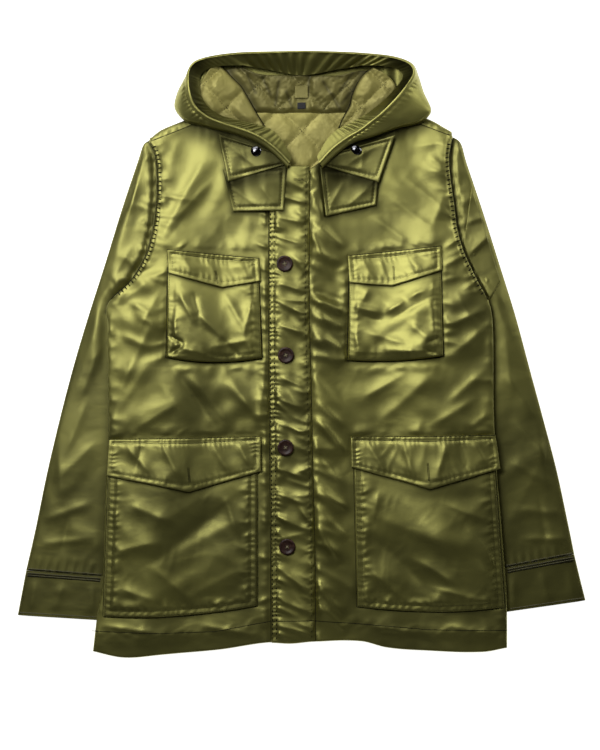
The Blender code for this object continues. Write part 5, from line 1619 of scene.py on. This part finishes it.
# %% [markdown]
# ## Buttons and snaps
# A four-hole button is turned: a disc with a raised rim and a sunk middle. One is
# made from a cylinder by insetting and moving its top, its holes are cut by Boolean,
# and it is copied. The thread crosses the holes. The snaps are plain domed caps.


# %% Fastenings
def disc(name, radius, height, rings, finish, segments=48):
    """A turned disc: its top face is inset and moved for each (inset, rise) ring."""
    bpy.ops.object.select_all(action="DESELECT")
    bpy.ops.mesh.primitive_cylinder_add(vertices=segments, radius=radius * MM, depth=height * MM,
        location=(0, 0, height * MM / 2))
    piece = bpy.context.object
    piece.name = piece.data.name = name
    bpy.ops.object.transform_apply(location=True, rotation=False, scale=False)
    bpy.ops.object.mode_set(mode="EDIT")
    bpy.ops.mesh.select_mode(type="FACE")
    bpy.ops.mesh.select_all(action="DESELECT")
    bpy.ops.object.mode_set(mode="OBJECT")
    for face in piece.data.polygons:
        face.select = face.normal.z > 0.9
    bpy.ops.object.mode_set(mode="EDIT")
    for inset, rise in rings:
        bpy.ops.mesh.inset(thickness=inset * MM, depth=0)
        bpy.ops.transform.translate(value=(0, 0, rise * MM))
    bpy.ops.object.mode_set(mode="OBJECT")
    piece.data.materials.append(finish)
    return piece


def copied(piece, name, x, y, z, turn=0.0, stretch=(1, 1)):
    """A copy with its own mesh, turned and moved in the mesh itself."""
    made = piece.copy()
    made.data = piece.data.copy()
    made.name = made.data.name = name
    bpy.context.scene.collection.objects.link(made)
    points = np.empty(len(made.data.vertices) * 3)
    made.data.vertices.foreach_get("co", points)
    points = points.reshape(-1, 3)
    px, py = points[:, 0] * stretch[0], points[:, 1] * stretch[1]
    c, s = math.cos(math.radians(turn)), math.sin(math.radians(turn))
    home = placed(np.array([x]), np.array([y]), np.array([z]))[0]
    moved = np.stack([px * c - py * s, px * s + py * c, points[:, 2]], axis=1) + home
    set_points(made, moved)
    bpy.ops.object.select_all(action="DESELECT")
    made.select_set(True)
    bpy.context.view_layer.objects.active = made
    bpy.ops.object.shade_smooth_by_angle(angle=math.radians(40))
    PIECES[name] = made
    return made


pattern = disc("button_pattern", BUTTON_RADIUS, 2.4,
    [(0.5, 0.6), (1.1, 0.35), (1.2, -0.1), (1.0, -0.75), (2.2, -0.35)], HORN)
bpy.ops.object.select_all(action="DESELECT")
for dx, dy in ((2.3, 0), (0, 2.3), (-2.3, 0), (0, -2.3)):
    bpy.ops.mesh.primitive_cylinder_add(vertices=14, radius=1.05 * MM, depth=8 * MM,
        location=(dx * MM, dy * MM, 2 * MM))
    drill = bpy.context.object
    cut = pattern.modifiers.new("hole", "BOOLEAN")
    cut.operation, cut.object, cut.solver = "DIFFERENCE", drill, "EXACT"
    bpy.context.view_layer.objects.active = pattern
    bpy.ops.object.modifier_apply(modifier="hole")
    bpy.data.objects.remove(drill)
strand = disc("strand_pattern", 0.5, 4.4, [(0.2, 0.15)], PALE_YARN, 8)
for number, spot in enumerate(BUTTONS, 1):
    base = float(placket_skin(np.array([spot.x]), np.array([spot.y]))[0]) + 0.7
    copied(pattern, f"button_{number}_turned", spot.x, spot.y, base, turn=12 * number)
    for way, tilt in enumerate((0, 90)):
        thread = copied(strand, f"button_{number}_thread_{way + 1}", 0, 0, 0)
        points = np.empty(len(thread.data.vertices) * 3)
        thread.data.vertices.foreach_get("co", points)
        points = points.reshape(-1, 3) - placed(np.array([0.0]), np.array([0.0]), np.array([0.0]))[0]
        run = points[:, 2] - 2.2 * MM
        angle = math.radians(tilt + 12 * number)
        home = placed(np.array([spot.x]), np.array([spot.y]), np.array([base + 2.1 + 0.35 * way]))[0]
        arch = 0.5 * MM * (1 - (run / (2.2 * MM)) ** 2)
        laid = np.stack([run * math.cos(angle) - points[:, 1] * math.sin(angle),
            run * math.sin(angle) + points[:, 1] * math.cos(angle), points[:, 0] + arch], axis=1)
        set_points(thread, laid + home)
snap_pattern = disc("snap_pattern", 7.5, 0.9, [(0.6, 0.5), (1.3, 0.7), (1.6, 0.55), (1.8, 0.35),
    (1.2, 0.05)], ENAMEL)
for side, spot in SNAPS.items():
    rest = float(throat_low(THROAT_FLAPS[f"throat_flap_upper_{side}"], np.array([spot.x]),
        np.array([spot.y]))[0]) + FLAP_WALL + STACK + 0.8
    copied(snap_pattern, f"snap_{side}_cap", spot.x, spot.y, rest, turn=-35 if side == "left" else 0,
        stretch=(1.12, 0.84) if side == "left" else (1.0, 1.0))
for spare in (pattern, strand, snap_pattern):
    bpy.data.objects.remove(spare)
print("fastenings:", len(BUTTONS), "buttons and", len(SNAPS), "snaps")


# %% [markdown]
# ## Stitches
# Sewing shows as rows of short raised threads. One stitch is a long four-sided bead.
# An Array modifier repeats it, and each copy is then laid along its seam on the
# cloth's own height.


# %% Stitches
def sew(name, lines, height, finish, pitch=3.2, radius=0.32, lift=0.12, half=None, turn=0.0):
    spots = []
    for points in lines:
        points = np.array(points, float)
        steps = np.hypot(*np.diff(points, axis=0).T)
        ends = np.concatenate([[0], np.cumsum(steps)])
        at = np.arange(pitch / 2, ends[-1], pitch)
        x, y = np.interp(at, ends, points[:, 0]), np.interp(at, ends, points[:, 1])
        x2, y2 = np.interp(at + 0.4, ends, points[:, 0]), np.interp(at + 0.4, ends, points[:, 1])
        spots.append(np.stack([x, y, np.arctan2(y2 - y, x2 - x)], axis=1))
    spots = np.concatenate(spots)
    bpy.ops.object.select_all(action="DESELECT")
    bpy.ops.mesh.primitive_uv_sphere_add(segments=4, ring_count=3, radius=1)
    piece = bpy.context.object
    piece.name = piece.data.name = name
    bead = np.array([v.co[:] for v in piece.data.vertices])
    rows = piece.modifiers.new("row", "ARRAY")
    rows.count = len(spots)
    bpy.ops.object.modifier_apply(modifier="row")
    half = half or pitch * 0.36
    a, b, c = bead[:, 2] * half, bead[:, 0] * radius, bead[:, 1] * radius
    way = spots[:, 2] + math.radians(turn) + 0.25 * lumps(spots[:, 0], spots[:, 1], 9.0, 171)
    cos, sin = np.cos(way)[:, None], np.sin(way)[:, None]
    x, y = spots[:, 0:1] + a * cos - b * sin, spots[:, 1:2] + a * sin + b * cos
    z = height(spots[:, 0], spots[:, 1])[:, None] + lift + c + 0 * a
    set_points(piece, placed(x, y, z))
    return dressed(piece, finish)


sew("front_right_stitches", [HEM_LINES["right"]], front_skin, YARN)
sew("front_left_stitches", [HEM_LINES["left"]], front_skin, YARN)
# The armhole teeth and the placket's rows are near-black beads: painted shadow of the needle pits.
sew("armhole_right_stitches", [line_of(BODY_EDGE, "right", -1, 84, 296, 4.2, 40)], front_skin, SHADE_YARN,
    6.3, 1.0, 0.6, 2.9, 84.0)
sew("armhole_left_stitches", [line_of(BODY_EDGE, "left", 1, 84, 302, 4.2, 40)], front_skin, SHADE_YARN, 6.3,
    1.0, 0.6, 2.9, -84.0)
sew("placket_stitches", PLACKET_ROWS, placket_skin, SHADE_YARN, 6.4, 1.0, 0.1, 1.7)
sew("placket_middle_stitches", [line_of(PLACKET_SEAM, "x", 1, -404, 262, 4.0)], placket_skin, SHADE_YARN,
    7.5, 0.45, 0.0, 1.6)
for name, lines, height, finish, pitch in STITCHING:
    sew(name, lines, height, finish, pitch, 0.45)
# Thin near-black lines along seams and round pockets and flaps: painted shadow in the seams.
SHADOW_LINES = {
    "front_right_seams": ([line_of(BODY_EDGE, "right", -1, 78, 300, 0.4, 40),
    line_of(PLACKET_EDGE, "x", 1, -406, 262, 0.9, 40), [(-214, 303), (-185, 315), (-157, 327)],
    HEM_LINES["right"]], front_skin, 0.5),
    "front_left_seams": ([line_of(BODY_EDGE, "left", 1, 78, 306, 0.4, 40),
    line_of(PLACKET_SEAM, "x", 1, -406, 262, -1.6, 40), [(211, 311), (185, 321), (161, 331)],
    HEM_LINES["left"]], front_skin, 0.5),
    "placket_seams": ([[(-43, -379), (17, -378)]], placket_skin, 0.5),
}
for label, pockets, flaps, depth in (("chest", CHEST_POCKETS, CHEST_FLAPS, 1.2),
        ("lower", LOWER_POCKETS, LOWER_FLAPS, 0.6)):
    for side in pockets:
        plan, size = pocket_plan(pockets[side]), (132, 134)
        SHADOW_LINES[f"{label}_pocket_{side}_seams"] = ([outline_of(plan, -0.9, size, "lbr")], front_skin,
            0.7 if label == "chest" else 0.4)
        plan, top = flap_plan(flaps[side]), next(row for row in STITCHING
            if row[0] == f"{label}_flap_{side}_stitches")
        SHADOW_LINES[f"{label}_flap_{side}_seams"] = ([outline_of(plan, 0.8, (216, 62), "t"), top[1][1]], top[2],
            0.5)
for name, (lines, height, radius) in SHADOW_LINES.items():
    thin_line(name, lines, height, SHADE_YARN, radius)
print("stitched pieces:", sum("stitches" in name for name in PIECES))


# %% [markdown]
# ### Cuff seams and buttonholes
# Thread lies in three rows beside the seam of the cuff and in one near its end.
# A buttonhole is a slit with thread wound closely round it.

# %% Cuff rows and buttonholes
for side, rows, cuff in (("right", RIGHT_SLEEVE, RIGHT_CUFF), ("left", LEFT_SLEEVE, LEFT_CUFF)):
    sign, across, lines = -1 if side == "right" else 1, np.linspace(0.02, 0.78, 20), []
    for table, with_end, at in ((rows, True, 0.9915), (cuff, False, 0.07), (cuff, False, 0.13),
            (cuff, False, 0.90)):
        x, y = sleeve_spot(side, table, with_end, across, np.full(20, at))
        lines.append([(sign * a, b) for a, b in zip(x.tolist(), y.tolist())
            if a > float(through(BODY_EDGE, "y", side, b)) + 2])

    def cuff_skin(x, y):
        return SLEEVE_HEIGHT + 0.4 + fold_height(SLEEVE_FOLDS, x, y)

    sew(f"cuff_{side}_stitches", lines, cuff_skin, GREY_YARN, 3.0, 0.75, half=1.4)
    # Near-black lines beside the first three rows: painted shadow in the cuff's seams.
    thin_line(f"cuff_{side}_seams", [[(a, b - 1.5) for a, b in line] for line in lines[:3]], cuff_skin,
        SHADE_YARN, 0.65)

SLITS = {
    "chest_flap_right": ((-123, 119), (-119, 101)), "chest_flap_left": ((129.5, 126), (131, 106)),
    "lower_flap_right": ((-161, -160), (-159, -181)), "lower_flap_left": ((178, -154), (180, -179)),
    "placket": ((-12, 248), (2, 248)),
}
HEIGHTS = {name.replace("_stitches", ""): height for name, _, height, _, _ in STITCHING}
HEIGHTS["placket"] = placket_skin
for name, ((x1, y1), (x2, y2)) in SLITS.items():
    length, angle = math.hypot(x2 - x1, y2 - y1), math.atan2(y2 - y1, x2 - x1)
    bars = [[(x1 + 0.85 * s * math.sin(angle), y1 - 0.85 * s * math.cos(angle)),
        (x2 + 0.85 * s * math.sin(angle), y2 - 0.85 * s * math.cos(angle))] for s in (1, -1)]
    sew(f"{name}_buttonhole", bars, HEIGHTS[name], SHADE_YARN, 1.1, 0.7, 0.3)
print("buttonholes:", len(SLITS))

# %% [markdown]
# ## Painted shade
# Below a flap, beside the hood, in the armhole and inside the hood the cloth is painted
# darker, for the shade that falls there. Each piece gets an attribute, 1 in such a
# place and 0 elsewhere, worked out from how near it is to the edge that covers it.


# %% Painted shade
def low_edge(part):
    """The free lower edge of a pocket, a flap or a collar flap."""
    if isinstance(part, ThroatFlap):
        return [part.neck_bottom, part.outer_bottom]
    if isinstance(part, Flap):
        return [(part.left_bottom, part.end_left), (part.point_x, part.point_y),
            (part.right_bottom, part.end_right)]
    return [(part.left_bottom, part.bottom_left), (mix(part.left_bottom, part.right_bottom, 0.5),
        part.bottom_mid), (part.right_bottom, part.bottom_right)]


def ring_of(part):
    corners = corners_of(part)
    return [*corners, corners[0]]


def paint_shade(name, shades):
    """Writes how much painted shade each point gets: shades are (line, reach, depth)."""
    piece = PIECES[f"{name}_shell"]
    points = np.empty(len(piece.data.vertices) * 3)
    piece.data.vertices.foreach_get("co", points)
    x, y = points[0::3] / MM + CENTRE_X, points[1::3] / MM + CENTRE_Y
    light = np.ones(len(x))
    for line, reach, depth in shades:
        light *= 1 - depth * (1 - ease(-0.2 * reach, reach, near_line(line, x, y)[0]))
    piece.data.attributes.new("hollow", "FLOAT", "POINT").data.foreach_set("value",
        (1 - light).astype(np.float32))


HOOD_FOOT = {"right": [(row.out_x, row.out_y) for row in HOOD[:8]],
    "left": [(row.out_x, row.out_y) for row in HOOD[18:]]}
HOOD_EDGE = [(row.rim_x, row.rim_y) for row in HOOD]
CORNERS = [[(row.rim_x, row.rim_y) for row in HOOD[6:11]], [(row.rim_x, row.rim_y) for row in HOOD[17:22]]]
# Painted shade below the hood, the collar flaps and the pocket flaps, in the armholes and inside the hood.
for side, deep in (("right", 0.97), ("left", 0.84)):
    lower, upper = THROAT_FLAPS[f"throat_flap_lower_{side}"], THROAT_FLAPS[f"throat_flap_upper_{side}"]
    collar = [(ring_of(lower), 8, 0.7), (low_edge(lower), 14, 0.6), (ring_of(upper), 8, 0.7)]
    pocket, big, flap, big_flap = CHEST_POCKETS[side], LOWER_POCKETS[side], CHEST_FLAPS[side], LOWER_FLAPS[side]
    paint_shade(f"front_{side}", [(HOOD_FOOT[side], 40 if side == "right" else 26, deep)] * 2
        + [*collar, (low_edge(pocket), 8, 0.8), (ring_of(pocket), 3.5, 0.6), (ring_of(flap), 3, 0.5),
        (ring_of(big_flap), 2.6, 0.5)])
    paint_shade(f"yoke_{side}", [(HOOD_FOOT[side], 24, deep)])
    paint_shade(f"throat_flap_upper_{side}", [(HOOD_EDGE, 60 if side == "right" else 46, deep)] * 2)
    paint_shade(f"throat_flap_lower_{side}", [(low_edge(upper), 34, 0.95)] * 2)
    paint_shade(f"chest_pocket_{side}", [(low_edge(flap), 8, 0.9)])
    paint_shade(f"lower_pocket_{side}", [(low_edge(big_flap), 6, 0.85)])
    sign = -1 if side == "right" else 1
    paint_shade(f"sleeve_{side}", [([(sign * x, y) for x, y in ARMHOLES[side]], 6, 0.9),
        (line_of(BODY_EDGE, side, sign, -420, 60), 14, 0.55)])
    ear = RIGHT_EAR if side == "right" else LEFT_EAR
    paint_shade(f"hood_lining_ear_{side}", [(HOOD_EDGE, 26, 0.8), ([row[2:] for row in ear], 4, 0.6)])
paint_shade("placket", collar[:2] + [(ring_of(THROAT_FLAPS["throat_flap_lower_right"]), 10, 0.8)])
paint_shade("hood_lining", [([row[2:] for row in RIGHT_EAR], 12, 0.75), ([row[2:] for row in LEFT_EAR], 12, 0.75),
    ([(p.x, p.y) for p in HOOD_LINING_TOP], 10, 0.6), *(([row[:2], row[2:4]], 4.5, 0.7)
    for row in LINING_CREASES)])
paint_shade("hood_crown", [([(-120, 382), (120, 382)], 60, 0.95)])
paint_shade("hood_facing", [(CORNERS[0], 30, 0.98), (CORNERS[1], 26, 0.95), (HOOD_EDGE, 6, 0.6)])
print("hollows:", sum("hollow" in piece.data.attributes for piece in PIECES.values()), "pieces")

# %% [markdown]
# ## Who replaces what
# Each cloth piece stands for one solid of the frame and rides on the parka's one
# body. The cut of every piece of cloth is written down in millimetres: its width, its
# length and its area before it was sewn.

# %% Riding and the cut list
CLOTH = """
back front_right front_left placket yoke_right yoke_left sleeve_right sleeve_left cuff_right
cuff_left arm_pocket chest_pocket_right chest_pocket_left lower_pocket_right lower_pocket_left
chest_flap_right chest_flap_left lower_flap_right lower_flap_left throat_flap_lower_right
throat_flap_lower_left throat_flap_upper_right throat_flap_upper_left hood_side hood_facing
hood_crown neck_lining hood_lining hood_lining_ear_right hood_lining_ear_left hanger_patch
neck_tab
""".split()


def skin_area(piece):
    """Half of a shell's surface: the area of the cloth that it is."""
    return sum(face.area for face in piece.data.polygons) / 2


for node in CLOTH:
    piece = PIECES[f"{node}_shell"]
    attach(piece, "root")
    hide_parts(node)
    area = skin_area(piece)
    wide, long = sorted(piece.dimensions[:2])
    if node in ("hood_side", "hood_facing"):
        wide, long = area / 0.95, 0.96
    if node.startswith("yoke"):
        wide, long = area / 0.104, 0.105
    wide = max(wide, 0.0101)
    grow = max(1.0, math.sqrt(area / (wide * long)) * 1.001)
    wide * grow
    long * grow
    min(area, wide * long * grow * grow)
    print(f"{node}: {wide * grow * 1000:.0f} x {long * grow * 1000:.0f} mm, {area * 1e4:.0f} cm2")
for name, piece in PIECES.items():
    if name.endswith("_shell"):
        continue
    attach(piece, "root")
    ("button_horn" if "turned" in name else "snap_enamel" if name.startswith("snap")
        else "shell_satin")
    if name.endswith("_turned"):
        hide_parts(name.replace("_turned", ""))
    if name.endswith("_cap"):
        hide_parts(name.replace("_cap", ""))
print("pieces:", len(PIECES))

# %% [markdown]
# ## Floor, light and camera
# The parka lies on a white table under the camera. A large soft light hangs high beyond
# its hood, near the place that flat satin mirrors to the camera, so the cloth shines
# softly and its creases draw lights and darks. A lower light gives the folds their
# shadows, and two weak ones fill the other sides.

# %% Studio
bpy.ops.object.select_all(action="DESELECT")
bpy.ops.mesh.primitive_plane_add(size=8, location=(0, 0, 0))
floor = bpy.context.object
floor.name = "floor"
bpy.ops.object.mode_set(mode="EDIT")
bpy.ops.mesh.select_all(action="SELECT")
bpy.ops.transform.translate(value=(0, 0, -0.0002))
bpy.ops.mesh.subdivide(number_cuts=7)
bpy.ops.object.mode_set(mode="OBJECT")
paper = Finish("white_paper", (0.9, 0.9, 0.9), 0.9, emission_strength=1.0)
paper.put("Emission Color", (1.0, 1.0, 1.0, 1.0))
paper.put("Normal", paper.bump(paper.noise(paper.place(), 300.0), 0.00005))
floor.data.materials.append(paper.material)

world = bpy.data.worlds.new("studio")
world.use_nodes = True
world.node_tree.nodes["Background"].inputs["Color"].default_value = (1.0, 1.0, 1.0, 1.0)
world.node_tree.nodes["Background"].inputs["Strength"].default_value = 0.012
bpy.context.scene.world = world


def soft_light(name, at, aim, size, power, colour=(1, 1, 1)):
    bpy.ops.object.light_add(type="AREA", location=at)
    light = bpy.context.object
    light.name = name
    light.data.shape, light.data.size, light.data.size_y = "RECTANGLE", size[0], size[1]
    light.data.energy, light.data.color = power, colour
    direction = [b - a for a, b in zip(at, aim)]
    flat = math.hypot(direction[0], direction[1])
    light.rotation_euler = (math.atan2(flat, -direction[2]), 0,
        math.atan2(direction[1], direction[0]) - math.pi / 2)
    return light


soft_light("high", (-0.47, 0.56, 1.40), (-0.08, 0.10, 0), (0.8, 0.5), 9.8)
soft_light("low", (-0.30, 1.0, 0.85), (-0.05, 0.20, 0), (1.1, 0.5), 4.5)
soft_light("second", (1.20, 0.75, 0.62), (0.10, 0.08, 0), (0.6, 0.5), 3.2)
soft_light("front", (0.30, -1.60, 0.95), (0, 0, 0), (1.2, 0.6), 0.5)
bpy.ops.object.camera_add(location=(-0.0023, -0.0290, 3.015), rotation=(0, 0, 0))
camera = bpy.context.object
camera.name = "photo_camera"
camera.data.sensor_width, camera.data.lens = 36.0, 36.0 * 3.0 / 1.065
camera.data.clip_end = 50
bpy.context.scene.camera = camera
bpy.context.scene.view_settings.view_transform = "Standard"
print("camera:", [round(v, 3) for v in camera.location], "lens", round(camera.data.lens, 1))

# %% Finish
print("points in all:", sum(len(p.data.vertices) for p in PIECES.values()))
